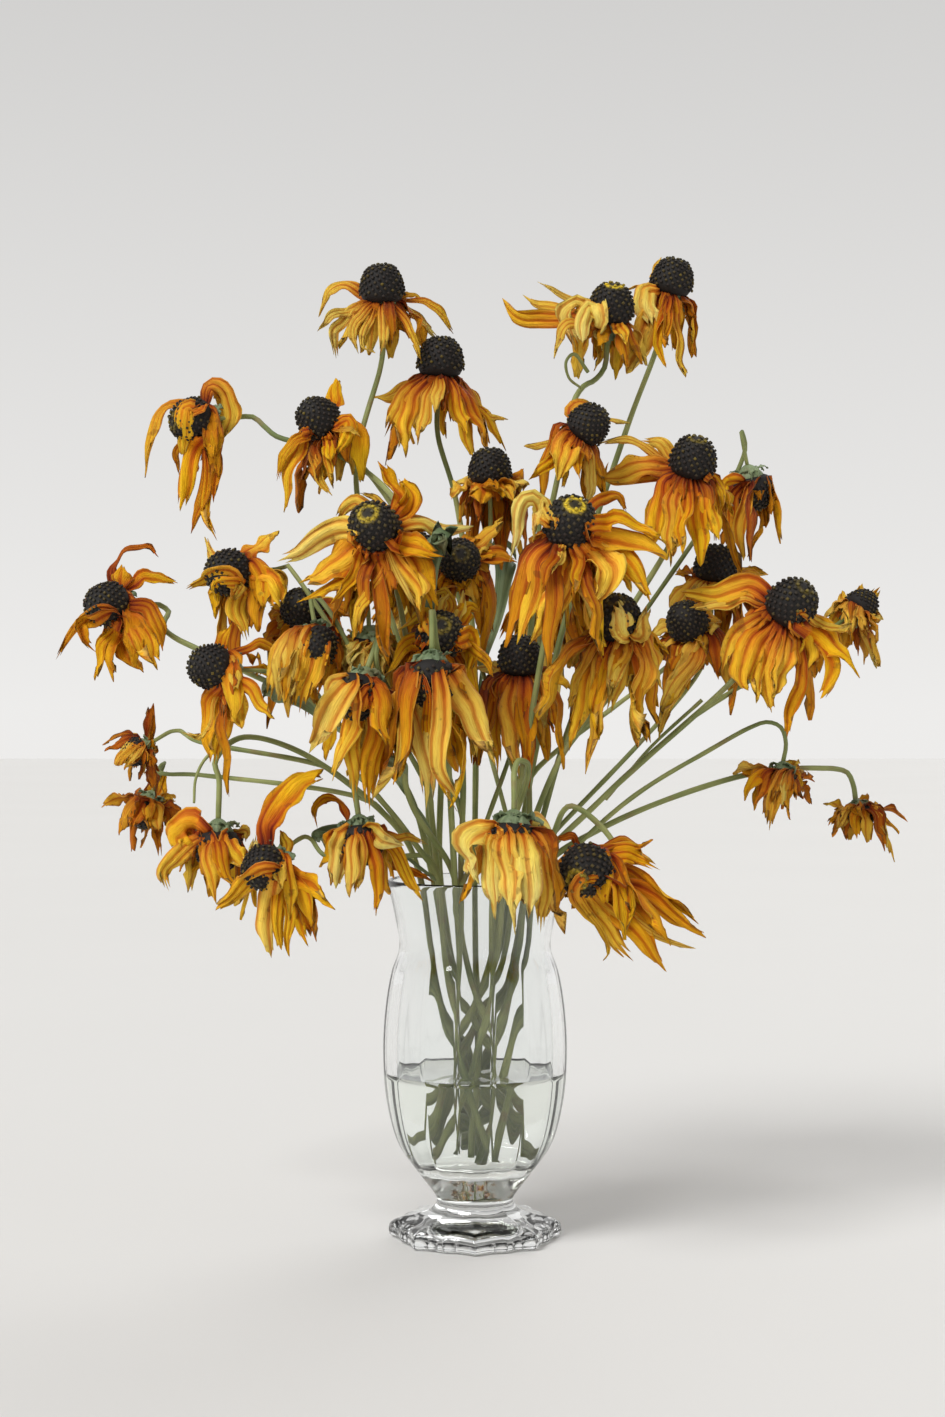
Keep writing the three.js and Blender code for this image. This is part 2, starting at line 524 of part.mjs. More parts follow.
const cones = Object.entries(FLOWERS).map(([name, flower]) => {
  const { middle, axis } = frameOf(flower);
  return { name, middle: middle.addScaledVector(axis, 6 * flower.size), reach: CLEAR.cone * flower.size };
});
const mains = Object.entries(STEMS).map(([name, stem], i) => {
  return { name, to: stem.to, points: mainPath(stem, i) };
});
settle(mains, [], cones, { first: -1 }).forEach((points, i) => (mains[i].points = points));
const shoots = mains.flatMap(({ name, points }) =>
  STEMS[name].shoots.map((shoot) => ({ name, to: shoot.to, points: shootPath(shoot, points) })),
);
settle(shoots, mains, cones, { first: 2 }).forEach((points, i) => (shoots[i].points = points));

function stemOf(main, gap) {
  const parts = [tube(simplify(main.points, STEM.chord), STEM.radius, gap)];
  for (const shoot of shoots.filter(({ name }) => name === main.name)) {
    parts.push(tube(simplify(shoot.points, STEM.chord), STEM.sideRadius, gap));
  }
  const leafy = LEAVES[main.name];
  if (leafy) parts.push(leaf(main.points[Math.round(leafy.at * STEM.samples)], leafy, gap));
  return union(parts);
}

// Each solid is cut clear of the ones that come before it: stems first, then flowers in the order of their
// list.
const bouquet = new THREE.Group();
const taken = [];
function add(name, solid, cutter, colour) {
  const cut = largest(solid.subtract(union(taken)).simplify(CLEAR.detail));
  bouquet.add(meshOf(name, cut, colour));
  taken.push(cutter);
}
for (const main of mains) {
  add(main.name, stemOf(main), stemOf(main, CLEAR.gap), COLOURS.stem);
}
const stemCutters = [...taken];
for (const [name, flower] of Object.entries(FLOWERS)) {
  add(name, headOf(flower), headOf(flower, CLEAR.gap), COLOURS.flower);
}
bouquet.add(meshOf("vase", makeVase(), COLOURS.glass));
bouquet.add(meshOf("water", makeWater(stemCutters), COLOURS.water));

export default bouquet;
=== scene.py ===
# %% [markdown]
# # A wilted bouquet in a fluted glass vase
# The bouquet is cone-centred daisies gone limp: dark domed cones, long pleated petals that hang like wet
# paper, ribbed green stems, and a clear footed vase with some water in it. The solids that the scene
# starts from fix where each piece is. Here each of them gets its fine surface.

import math

import bpy
import numpy as np
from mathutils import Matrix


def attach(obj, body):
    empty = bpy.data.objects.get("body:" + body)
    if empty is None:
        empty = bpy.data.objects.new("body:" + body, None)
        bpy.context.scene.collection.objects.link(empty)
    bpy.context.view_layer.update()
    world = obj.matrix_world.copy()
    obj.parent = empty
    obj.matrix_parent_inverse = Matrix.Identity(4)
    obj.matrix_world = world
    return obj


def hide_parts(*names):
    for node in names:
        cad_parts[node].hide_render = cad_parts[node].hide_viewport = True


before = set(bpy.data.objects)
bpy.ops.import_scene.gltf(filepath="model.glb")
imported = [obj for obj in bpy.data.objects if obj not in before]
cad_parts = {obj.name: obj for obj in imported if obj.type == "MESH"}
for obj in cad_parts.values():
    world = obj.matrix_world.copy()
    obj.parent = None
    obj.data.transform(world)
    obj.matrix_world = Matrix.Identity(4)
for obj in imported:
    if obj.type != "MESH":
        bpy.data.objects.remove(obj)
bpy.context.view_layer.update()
print("solids to dress:", len(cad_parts))

# %% [markdown]
# ## From the photograph to space
# A pixel says only in which direction a thing lies, so each place below is a pixel and a depth behind the
# vase's axis. The camera was worked out from the ellipse of the vase's foot: level, 1.26 m away and as
# high as the picture's middle. Lengths are millimetres until a mesh is made.

# %% Camera values and the place of a pixel
MILLIMETRE = 0.001
IMAGE = (945, 1417)
FOCAL, DISTANCE = 2250.0, 1260.0
MIDDLE, EYE = (472.5, 708.5), (-1.4, 295.4)


def place(pixels, depth):
    """Offset from the image's middle, scaled by the distance from the camera over its focal length."""
    pixels = np.asarray(pixels, float)
    depth = np.broadcast_to(depth, pixels.shape[:-1]).astype(float)
    scale = (DISTANCE + depth) / FOCAL
    across = EYE[0] + (pixels[..., 0] - MIDDLE[0]) * scale
    return np.stack([across, depth, EYE[1] - (pixels[..., 1] - MIDDLE[1]) * scale], -1)


def pixels_of(points):
    """The reverse of place: where points in space are in the photograph."""
    scale = (DISTANCE + points[..., 1]) / FOCAL
    across = MIDDLE[0] + (points[..., 0] - EYE[0]) / scale
    return np.stack([across, MIDDLE[1] - (points[..., 2] - EYE[1]) / scale], -1)


def place_each(rows):
    """place for rows of column, row and depth."""
    rows = np.array(rows, float).reshape(-1, 3)
    return place(rows[:, :2], rows[:, 2])


def unit(vectors):
    """Each vector divided by its own length."""
    return vectors / np.linalg.norm(vectors, axis=-1, keepdims=True)


print("the rim's middle is at", place((475, 878), 0).round(1))

# %% [markdown]
# ## Meshes from arrays
# Each piece is put together from two kinds of part, both closed. A tube is rings of points along a path,
# with a point at each end. A slab is a thin sheet with an upper and a lower side, for petals and leaves.
# Parts are plain arrays, so a head's slabs and florets are joined with no loop over vertices.

# %% Faces, tubes and slabs


def grid_faces(rows, columns, wrap):
    """Corner numbers of the quads between neighbouring points of a grid, wrapped round in columns for a
    tube."""
    across = columns if wrap else columns - 1
    row, column = np.meshgrid(np.arange(rows - 1), np.arange(across), indexing="ij")
    here, after = row * columns + column, row * columns + (column + 1) % columns
    return np.stack([here, after, after + columns, here + columns], -1).reshape(-1, 4)


def tubes(rings, along, tone, finish):
    """Closed tubes from an array of tubes by rings by points by 3: quads between the rings, and a fan to
    a middle point at each end. The map's u is the share of the length and its v the share of the way
    round."""
    count, rows, columns = rings.shape[:3]
    ends = rings[:, [0, -1]].mean(axis=2)
    points = np.concatenate([rings.reshape(count, -1, 3), ends], axis=1)
    u, v = np.meshgrid(along, np.linspace(0, 1, columns, endpoint=False), indexing="ij")
    one = np.concatenate([np.stack([u, v], -1).reshape(-1, 2), [[along[0], 0.5], [along[-1], 0.5]]])
    first, last = rows * columns, rows * columns + 1
    turn = np.arange(columns)
    after = (turn + 1) % columns
    low = np.stack([np.full(columns, first), after, turn], -1)
    high = np.stack([np.full(columns, last), turn + first - columns, after + first - columns], -1)
    chart = np.tile(one, (count, 1, 1))
    return part(points, chart, tone, [grid_faces(rows, columns, True), low, high], finish)


def slabs(sheets, tone, finish):
    """Closed thin sheets: both sides, and a strip of quads along each of the four borders. The fourth
    channel of the tone is high on the crests of the folds of the side that it is on; the petal finish
    paints a highlight from it on the crests and shade in the grooves."""
    upper, lower, along, fold = sheets
    count, rows, columns = upper.shape[:3]
    size = rows * columns
    points = np.concatenate([upper.reshape(count, -1, 3), lower.reshape(count, -1, 3)], axis=1)
    u, v = np.meshgrid(along, np.linspace(0, 1, columns), indexing="ij")
    chart = np.tile(np.stack([u, v], -1).reshape(1, -1, 2), (count, 2, 1))
    crest = np.concatenate([fold.reshape(count, -1), 1 - fold.reshape(count, -1)], axis=1)
    tones = np.concatenate([np.repeat(tone[:, None], 2 * size, axis=1), crest[..., None]], axis=-1)
    top = grid_faces(rows, columns, False)
    number = np.arange(size).reshape(rows, columns)
    borders = [number[0, :], number[:, -1], number[-1, ::-1], number[::-1, 0]]
    rim = [np.stack([b[:-1], b[:-1] + size, b[1:] + size, b[1:]], -1) for b in borders]
    return part(points, chart, tones, [top, top[:, ::-1] + size, *rim], finish)


def part(points, chart, tone, faces, finish):
    """The same faces for each copy, numbered on from copy to copy. tone is one colour for each copy or
    point."""
    count, size = points.shape[:2]
    shift = np.arange(count)[:, None, None] * size
    numbered = [(f[None] + shift).reshape(-1, f.shape[1]) for f in faces]
    tones = tone if tone.ndim == 3 else np.repeat(tone[:, None, :], size, axis=1)
    if tones.shape[-1] == 3:
        tones = np.concatenate([tones, np.full(tones.shape[:2] + (1,), 0.5)], axis=-1)
    return {"points": points.reshape(-1, 3), "chart": chart.reshape(-1, 2), "tone": tones.reshape(-1, 4),
            "faces": numbered, "finish": finish}


# %% Parts to one object


def piece(name, parts, finishes):
    """Joins parts into one object at the origin, with a UV map, a tone for each point and a finish for
    each face."""
    points = np.concatenate([p["points"] for p in parts]) * MILLIMETRE
    starts = np.cumsum([0] + [len(p["points"]) for p in parts])
    blocks = [(f + s, finishes.index(p["finish"])) for p, s in zip(parts, starts) for f in p["faces"]]
    mesh = bpy.data.meshes.new(name)
    mesh.vertices.add(len(points))
    mesh.vertices.foreach_set("co", points.ravel())
    corners = np.concatenate([f.ravel() for f, _ in blocks])
    sizes = np.concatenate([np.full(len(f), f.shape[1]) for f, _ in blocks])
    mesh.loops.add(len(corners))
    mesh.loops.foreach_set("vertex_index", corners)
    mesh.polygons.add(len(sizes))
    mesh.polygons.foreach_set("loop_start", np.cumsum(sizes) - sizes)
    mesh.polygons.foreach_set("material_index", np.concatenate([np.full(len(f), m) for f, m in blocks]))
    mesh.polygons.foreach_set("use_smooth", np.ones(len(sizes), bool))
    mesh.update(calc_edges=True)
    chart = np.concatenate([p["chart"] for p in parts])[corners]
    mesh.uv_layers.new(name="chart").data.foreach_set("uv", chart.ravel())
    tone = np.concatenate([p["tone"] for p in parts])
    mesh.attributes.new("tone", "FLOAT_COLOR", "POINT").data.foreach_set("color", tone.ravel())
    for finish in finishes:
        mesh.materials.append(finish)
    made = bpy.data.objects.new(name, mesh)
    bpy.context.scene.collection.objects.link(made)
    return made


def dress(made, node):
    """Fixes a piece to the frame's body in place of its solid, which it hides."""
    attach(made, "root")
    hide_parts(node)
    return made


# %% [markdown]
# ## Finishes
# Nothing here is one flat colour. A petal is maroon at its root, orange in the middle and gold towards
# its tip, with veins along it, painted shade in the grooves of its folds and a painted highlight on their
# crests, pale or burnt edges and a few dead spots. The map's u runs along a petal and its v across, so the
# pattern follows each fold. The tone of a point says how lucky, pale and burnt its petal is, and whether
# it is on a crest, which decides where that highlight and shade are painted.

# %% A material in the making


class Finish:
    """A new material with the inputs that its pattern is made from, and short ways to add nodes."""

    def __init__(self, name, roughness):
        self.material = bpy.data.materials.new(name)
        self.material.use_nodes = True
        self.surface = self.material.node_tree.nodes["Principled BSDF"]
        self.surface.inputs["Roughness"].default_value = roughness
        chart = self.add("UVMap", uv_map="chart").outputs[0]
        self.u, self.v, _ = self.add("SeparateXYZ", {0: chart}).outputs
        tone = self.add("Attribute", attribute_name="tone").outputs
        self.luck, self.second, self.third = self.add("SeparateColor", {0: tone["Color"]}).outputs
        self.crest = tone["Alpha"]
        self.spots = self.add("TexCoord").outputs["Object"]

    def add(self, kind, inputs=None, **settings):
        """Adds a node, links or sets its inputs and returns it."""
        node = self.material.node_tree.nodes.new("ShaderNode" + kind)
        for key, value in settings.items():
            setattr(node, key, value)
        for key, value in (inputs or {}).items():
            if isinstance(value, bpy.types.NodeSocket):
                self.material.node_tree.links.new(value, node.inputs[key])
            else:
                node.inputs[key].default_value = value
        return node

    def math(self, operation, first, second):
        return self.add("Math", {0: first, 1: second}, operation=operation).outputs[0]

    def fade(self, value, low, high):
        """0 up to low, 1 from high on and eased between them."""
        inputs = {"Value": value, "From Min": low, "From Max": high}
        return self.add("MapRange", inputs, interpolation_type="SMOOTHSTEP").outputs[0]

    def blend(self, factor, first, second, kind="MIX"):
        inputs = {0: factor, 6: first, 7: second}
        return self.add("Mix", inputs, data_type="RGBA", blend_type=kind).outputs[2]

    def ramp(self, value, stops):
        node = self.add("ValToRGB", {"Fac": value})
        colours = node.color_ramp.elements
        while len(colours) < len(stops):
            colours.new(1.0)
        for spot, (position, colour) in zip(colours, stops):
            spot.position = position
            spot.color = (*colour, 1)
        return node.outputs[0]

    def noise(self, vector, scale, detail=3.0):
        return self.add("TexNoise", {"Vector": vector, "Scale": scale, "Detail": detail}).outputs[0]

    def lengthwise(self, along, across):
        """The map stretched along the part, in another place for each luck."""
        inputs = {0: self.math("MULTIPLY", self.u, along), 1: self.math("MULTIPLY", self.v, across),
                  2: self.math("MULTIPLY", self.luck, 40.0)}
        return self.add("CombineXYZ", inputs).outputs[0]

    def done(self, colour, height=None, strength=0.3, distance=0.0004):
        links = self.material.node_tree.links
        links.new(colour, self.surface.inputs["Base Color"])
        if height is not None:
            bump = self.add("Bump", {"Height": height, "Strength": strength, "Distance": distance})
            links.new(bump.outputs[0], self.surface.inputs["Normal"])
        return self.material


# %% Petal
MAROON, RUST, ORANGE = (0.06, 0.006, 0.003), (0.34, 0.04, 0.003), (0.72, 0.17, 0.003)
GOLD, YELLOW, CREAM = (0.92, 0.37, 0.002), (1.0, 0.58, 0.006), (0.95, 0.72, 0.11)


def petal_finish():
    """Maroon to orange to gold along the petal, shifted by long streaks and lightened on the crests of the
    folds as a painted highlight; pale petals are cream, burnt ones rust."""
    f = Finish("petal", 0.6)
    f.surface.inputs["Specular IOR Level"].default_value = 0.2
    pale, burnt = f.second, f.third
    map_ = f.lengthwise(1.8, 11.0)
    streaks, fine = f.noise(map_, 1.6, 4.0), f.noise(map_, 4.5, 2.0)
    shifted = f.math("ADD", f.u, f.math("MULTIPLY", f.math("SUBTRACT", streaks, 0.5), 0.4))
    # painted highlight: the crests of the folds move the colour towards the lighter end of the ramps
    streaked_with_crest_highlight = f.math("ADD", shifted, f.math("MULTIPLY", f.math("SUBTRACT", f.crest, 0.5), 0.16))
    body = f.ramp(streaked_with_crest_highlight, [(0.02, MAROON), (0.13, RUST), (0.27, ORANGE), (0.46, GOLD), (0.7, YELLOW)])
    light = f.ramp(streaked_with_crest_highlight, [(0.02, RUST), (0.14, GOLD), (0.4, CREAM), (0.9, (0.93, 0.78, 0.22))])
    ember = f.ramp(streaked_with_crest_highlight, [(0.05, MAROON), (0.4, RUST), (0.95, ORANGE)])
    colour = f.blend(f.math("MULTIPLY", pale, f.fade(f.u, 0.02, 0.35)), body, light)
    colour = f.blend(f.math("MULTIPLY", burnt, 0.9), colour, ember)
    # painted shade: the grooves of the folds are darkened
    painted_groove_shade = f.math("MULTIPLY", f.fade(f.math("SUBTRACT", 1.0, f.crest), 0.5, 1.0), 0.75)
    colour = f.blend(painted_groove_shade, colour, (0.66, 0.26, 0.16, 1), "MULTIPLY")
    veins = f.math("MULTIPLY", f.math("SUBTRACT", 1.0, f.fade(fine, 0.36, 0.52)), 0.42)
    colour = f.blend(veins, colour, (0.82, 0.5, 0.35, 1), "MULTIPLY")
    side = f.math("ABSOLUTE", f.math("SUBTRACT", f.math("MULTIPLY", f.v, 2.0), 1.0), 0.0)
    tip = f.math("MULTIPLY", f.fade(f.u, 0.84, 1.0), 0.3)
    reach = f.math("ADD", f.math("ADD", side, tip), f.math("MULTIPLY", fine, 0.3))
    rim = f.fade(reach, 1.06, 1.24)
    colour = f.blend(f.math("MULTIPLY", rim, 0.45), colour, (0.86, 0.6, 0.16, 1))
    dry = f.math("MULTIPLY", f.fade(f.math("ADD", reach, f.math("MULTIPLY", burnt, 0.3)), 1.2, 1.42), 0.7)
    colour = f.blend(dry, colour, (0.16, 0.05, 0.012, 1))
    dead = f.math("MULTIPLY", f.fade(f.noise(f.spots, 130.0, 3.0), 0.63, 0.72), 0.5)
    colour = f.blend(dead, colour, (0.2, 0.05, 0.01, 1))
    return f.done(colour, f.math("ADD", fine, streaks), 0.85, 0.0012)


# %% Cone, green parts and stem


def cone_finish():
    """Near black at the bottom of a floret and on the dome between the florets, as painted shade, brown at
    its end, grey-green near the tip of the cone, and yellow where the tone says that it has pollen."""
    f = Finish("cone", 0.75)
    pollen, high, young = f.second, f.third, f.crest
    # painted shade: each floret goes from near black at its bottom to brown at its end, and the dome under
    # them is near black
    dark = f.blend(f.fade(high, 0.2, 1.0), (0.005, 0.003, 0.002, 1), (0.02, 0.011, 0.007, 1))
    dark = f.blend(f.math("MULTIPLY", young, high), dark, (0.085, 0.08, 0.04, 1))
    grain = f.noise(f.spots, 900.0, 2.0)
    dusted = f.blend(f.math("MULTIPLY", pollen, f.fade(grain, 0.25, 0.5)), dark, (0.85, 0.6, 0.02, 1))
    return f.done(dusted, grain, 0.4, 0.0003)


def green_finish(name, light, deep, dry):
    """Ribs along the part, a slow change between two greens, and brown where it is drying."""
    f = Finish(name, 0.62)
    slow, ribs = f.noise(f.spots, 28.0), f.noise(f.lengthwise(3.0, 22.0), 1.0)
    green = f.blend(f.fade(f.math("ADD", slow, f.math("MULTIPLY", ribs, 0.5)), 0.5, 1.0), deep, light)
    drying = f.math("MULTIPLY", f.fade(f.noise(f.spots, 75.0, 4.0), 0.54, 0.7), 0.6)
    return f.done(f.blend(drying, green, dry), f.math("ADD", ribs, slow), 0.5, 0.0005)


PETAL = petal_finish()
CONE = cone_finish()
GREEN = green_finish("cup", (0.26, 0.33, 0.17, 1), (0.08, 0.12, 0.055, 1), (0.14, 0.09, 0.035, 1))
STALK = green_finish("stalk", (0.36, 0.38, 0.13, 1), (0.13, 0.17, 0.045, 1), (0.24, 0.17, 0.07, 1))
LEAF = green_finish("leaf", (0.28, 0.34, 0.17, 1), (0.08, 0.13, 0.05, 1), (0.16, 0.11, 0.04, 1))
print("finishes:", [m.name for m in (PETAL, CONE, GREEN, STALK, LEAF)])

# %% [markdown]
# ## The flowers of the photograph
# Each head has the pixel at the middle of its petal ring, a depth, the way that its cone points, and its
# petals. Petals that can be followed in the photograph are drawn: a width in pixels, a shade from -1 for
# burnt to 1 for cream, and the pixels that the petal passes from its root to its tip, first for the near
# half of the ring and then for the far half. Of the others only the tip is known. looks holds how pale
# and how burnt the head's petals are and how much pollen is on its cone, and cup is the size of its
# bracts.

# %% Heads with drawn petals
DRAWN = {
    "flower_12": dict(
        at=(568, 532), depth=-92, faces=(0.15, -0.75, 0.65), size=1.08, looks=(0.1, 0.05, 1.0), cup=1,
        drawn=[
            (15, 0.8, (552, 522), (538, 500), (527, 497), (519, 518), (515, 540), (508, 562)),
            (10, 0.6, (554, 516), (542, 497), (539, 506), (538, 522), (539, 540)),
            (21, 0.0, (553, 545), (533, 560), (529, 590), (524, 620), (517, 645)),
            (23, 0.0, (567, 552), (566, 575), (557, 598), (545, 622), (532, 646)),
            (12, -0.7, (558, 550), (548, 568), (541, 588)),
            (8, 0.5, (562, 548), (561, 556), (555, 563), (552, 575)),
            (11, -0.3, (576, 550), (578, 562), (575, 575), (576, 602)),
            (28, 0.2, (582, 546), (598, 556), (607, 575), (604, 592), (597, 602)),
            (22, 0.0, (588, 543), (613, 553), (632, 566), (643, 584), (648, 603)),
            (12, 0.0, (586, 546), (610, 562), (625, 577), (634, 592)),
            (22, 0.0, (592, 534), (618, 538), (640, 545), (655, 553), (666, 562)),
            (16, -0.2, (592, 524), (618, 521), (640, 530), (660, 545)),
        ],
        behind=[(11, -0.6, (575, 518), (600, 500), (618, 492), (626, 512))],
    ),
    "flower_28": dict(
        at=(513, 829), depth=-112, faces=(-0.05, -0.15, -1), size=1.05, looks=(0.6, 0.0, 0.0), cup=1.5,
        drawn=[
            (27, 0.6, (497, 828), (478, 832), (467, 846), (474, 866), (482, 884)),
            (23, 0.4, (502, 830), (492, 846), (490, 872), (496, 898), (498, 920)),
            (23, 0.1, (508, 831), (505, 852), (508, 880), (513, 910), (516, 935)),
            (26, 0.3, (518, 830), (526, 852), (530, 880), (528, 905), (526, 919)),
            (20, -0.3, (524, 830), (540, 850), (544, 880), (542, 910), (541, 933)),
        ],
        behind=[
            (22, 0.6, (526, 828), (538, 828), (552, 837)),
            (20, -0.3, (528, 830), (548, 845), (555, 870), (556, 905), (557, 934)),
        ],
    ),
    "flower_19": dict(
        at=(432, 668), depth=-98, faces=(0, -0.25, -1), size=1.05, looks=(0.15, 0.0, 0.0), cup=1,
        drawn=[
            (24, 0.5, (420, 668), (412, 690), (405, 706), (414, 735), (423, 765), (429, 790), (426, 812)),
            (8, 0.2, (416, 690), (405, 712), (401, 742), (392, 770), (379, 803)),
            (10, -0.1, (424, 690), (429, 730), (435, 760), (442, 785), (457, 812)),
            (17, 0.3, (436, 668), (443, 690), (440, 715), (437, 742), (441, 770), (453, 800)),
            (28, 0.3, (444, 668), (460, 688), (473, 708), (478, 728), (484, 748), (488, 768)),
            (8, 0.1, (446, 690), (457, 730), (464, 762), (466, 788), (459, 812)),
        ],
        behind=[
            (12, -0.6, (432, 690), (436, 720), (432, 750)),
            (10, -0.5, (424, 690), (420, 725), (428, 760)),
        ],
    ),
    "flower_10": dict(
        at=(377, 535), depth=-72, faces=(-0.2, -0.82, 0.5), size=1.08, looks=(0.1, 0.05, 0.6), cup=1,
        drawn=[
            (22, 0.7, (352, 530), (335, 533), (318, 541), (298, 554), (277, 562)),
            (32, 0.1, (354, 546), (340, 562), (322, 574), (300, 584)),
            (15, -0.1, (358, 552), (347, 574), (328, 588), (296, 602)),
            (12, -0.3, (362, 556), (352, 578), (342, 592), (330, 604)),
            (12, 0.1, (384, 552), (385, 572), (373, 592), (358, 606), (354, 622), (347, 637)),
            (14, -0.9, (378, 556), (384, 578), (391, 598)),
            (20, 0.1, (392, 552), (404, 570), (416, 590), (425, 612)),
            (6, 0.4, (390, 554), (400, 576), (413, 608)),
            (24, -0.3, (396, 540), (412, 547), (428, 553), (443, 554)),
        ],
        behind=[
            (15, 0.4, (370, 510), (356, 499), (345, 508), (335, 522)),
            (9, 0.3, (384, 508), (376, 497), (360, 494)),
            (15, -0.2, (392, 515), (400, 500), (390, 482), (377, 462)),
            (19, -0.3, (394, 520), (410, 508), (410, 492), (398, 480)),
            (14, -0.3, (398, 526), (414, 522), (440, 526)),
            (15, 0.8, (400, 524), (424, 520), (448, 530), (474, 526)),
        ],
    ),
    "flower_16": dict(
        at=(785, 612), depth=-40, faces=(0.45, -0.6, 0.65), size=1.08, looks=(0.1, 0.05, 0.1), cup=1,
        drawn=[
            (13, 0.1, (772, 610), (752, 618), (738, 632), (725, 648), (722, 674)),
            (24, 0.0, (776, 616), (757, 638), (746, 660), (742, 678), (748, 691)),
            (15, 0.1, (778, 618), (764, 642), (757, 670), (756, 692), (752, 704)),
            (24, 0.0, (782, 620), (770, 645), (765, 670), (766, 692), (768, 712)),
            (18, -0.1, (790, 622), (784, 648), (777, 674), (769, 698)),
            (17, 0.0, (796, 622), (797, 645), (790, 660), (784, 673)),
            (20, -0.1, (800, 620), (810, 640), (812, 655), (806, 670)),
            (13, -0.5, (792, 622), (801, 660), (799, 690), (788, 712), (787, 738)),
            (18, -0.3, (802, 618), (828, 645), (840, 664), (832, 683), (820, 699)),
            (26, 0.0, (804, 616), (828, 634), (845, 652), (862, 677)),
            (9, 0.1, (806, 612), (828, 629), (850, 631), (851, 618), (841, 608)),
        ],
        behind=[
            (21, 0.1, (770, 596), (752, 583), (735, 588), (712, 595), (680, 591)),
            (14, 0.3, (770, 604), (745, 598), (720, 602), (690, 611)),
        ],
    ),
    "flower_29": dict(
        at=(590, 866), depth=-82, faces=(-0.38, -0.85, -0.3), size=1.1, looks=(0.1, 0.15, 0.5), cup=1,
        drawn=[
            (22, 0.1, (582, 886), (592, 912), (606, 932), (620, 950), (633, 963)),
            (8, 0.2, (578, 888), (590, 915), (604, 938), (610, 950), (603, 961)),
            (14, 0.1, (590, 888), (610, 912), (634, 938), (652, 954)),
            (22, -0.2, (598, 884), (620, 912), (642, 938), (668, 973)),
            (24, -0.3, (602, 880), (630, 896), (654, 918), (672, 946)),
            (7, 0.2, (604, 884), (640, 926), (662, 940), (697, 946)),
            (8, -0.2, (576, 886), (566, 900), (561, 895)),
        ],
        behind=[
            (20, -0.1, (600, 855), (625, 853), (643, 861), (660, 870)),
            (22, -0.2, (602, 862), (632, 874), (664, 892), (698, 925)),
            (20, -0.3, (602, 870), (640, 895), (668, 914), (706, 938)),
            (9, -0.6, (598, 850), (622, 840), (640, 847), (654, 843)),
            (7, -0.8, (588, 850), (574, 836), (552, 839)),
        ],
    ),
    "flower_20": dict(
        at=(362, 684), depth=-92, faces=(-0.3, -0.35, -0.9), size=1, looks=(0.15, 0.0, 0.0), cup=1,
        drawn=[
            (24, 0.6, (358, 684), (344, 694), (330, 718), (319, 740), (312, 756)),
            (12, 0.5, (352, 682), (336, 680), (327, 700), (318, 722), (314, 740)),
            (19, 0.2, (362, 696), (356, 720), (351, 750), (353, 780), (354, 805)),
            (20, 0.1, (356, 700), (346, 740), (338, 764), (338, 781)),
            (20, -0.5, (368, 696), (378, 735), (372, 765), (368, 790), (370, 812)),
        ],
        behind=[
            (14, 0.0, (372, 690), (382, 715), (384, 740), (383, 760)),
            (9, 0.3, (368, 700), (378, 722), (366, 736)),
        ],
    ),
    "flower_26": dict(
        at=(272, 862), depth=-62, faces=(-0.5, -0.6, -0.4), size=0.95, looks=(0.1, 0.0, 0.0), cup=1.3,
        drawn=[
            (18, -0.2, (266, 868), (252, 881), (238, 893), (217, 913)),
            (18, 0.4, (270, 876), (268, 900), (266, 925), (272, 958)),
            (14, 0.2, (274, 878), (280, 905), (280, 930), (284, 950)),
            (11, 0.0, (278, 878), (290, 910), (287, 940), (291, 956)),
            (12, -0.1, (282, 876), (296, 900), (300, 928), (309, 947)),
            (18, -0.7, (284, 874), (304, 895), (312, 918), (311, 942)),
            (24, 0.0, (284, 868), (295, 880), (315, 895), (337, 908)),
        ],
        behind=[
            (30, 0.0, (262, 848), (263, 824), (276, 798), (293, 780), (320, 763)),
            (14, 0.8, (262, 866), (254, 850), (256, 834)),
            (14, 0.0, (282, 858), (286, 846), (278, 831)),
        ],
    ),
    "flower_27": dict(
        at=(360, 831), depth=-55, faces=(0.1, -0.2, -0.95), size=0.95, looks=(0.1, 0.1, 0.0), cup=1.2,
        drawn=[
            (20, 0.7, (348, 831), (338, 848), (338, 870), (335, 889)),
            (14, 0.5, (354, 832), (352, 856), (350, 878), (352, 898)),
            (10, 0.3, (358, 832), (362, 860), (358, 880), (358, 893)),
            (18, 0.7, (368, 831), (384, 838), (402, 848)),
            (14, 0.0, (370, 833), (390, 850), (404, 872), (421, 903)),
            (13, -0.3, (364, 834), (378, 862), (377, 890), (377, 916)),
        ],
        behind=[
            (9, -0.4, (352, 826), (340, 800), (322, 796), (314, 812), (319, 830)),
            (9, 0.1, (374, 830), (398, 841), (412, 838), (430, 845)),
            (9, -0.5, (370, 834), (392, 862), (412, 870), (432, 884)),
        ],
    ),
    "flower_25": dict(
        at=(218, 836), depth=-35, faces=(0, -0.1, -1), size=1, looks=(0.1, 0.05, 0.0), cup=1.5,
        drawn=[
            (30, -0.1, (204, 834), (186, 826), (172, 838), (180, 852)),
            (16, 0.2, (202, 836), (178, 856), (162, 872), (169, 892)),
            (16, 0.1, (210, 838), (208, 860), (213, 882), (219, 902)),
            (14, -0.3, (216, 838), (220, 858), (227, 876), (234, 890)),
            (20, 0.2, (226, 838), (233, 852), (240, 862), (249, 868)),
        ],
        behind=[
            (10, 0.4, (230, 834), (246, 832), (247, 842)),
            (9, -0.3, (206, 838), (197, 866), (188, 876)),
        ],
    ),
    "flower_15": dict(
        at=(440, 640), depth=-62, faces=(0.05, -0.9, 0.4), size=1, looks=(0.05, 0.1, 0.25), cup=1,
        drawn=[
            (15, 0.1, (430, 632), (424, 614), (412, 624), (400, 632)),
            (17, -0.2, (430, 640), (408, 646), (394, 664), (384, 684)),
            (13, -0.6, (434, 650), (412, 660), (403, 680)),
            (12, -0.3, (442, 652), (446, 666), (444, 684)),
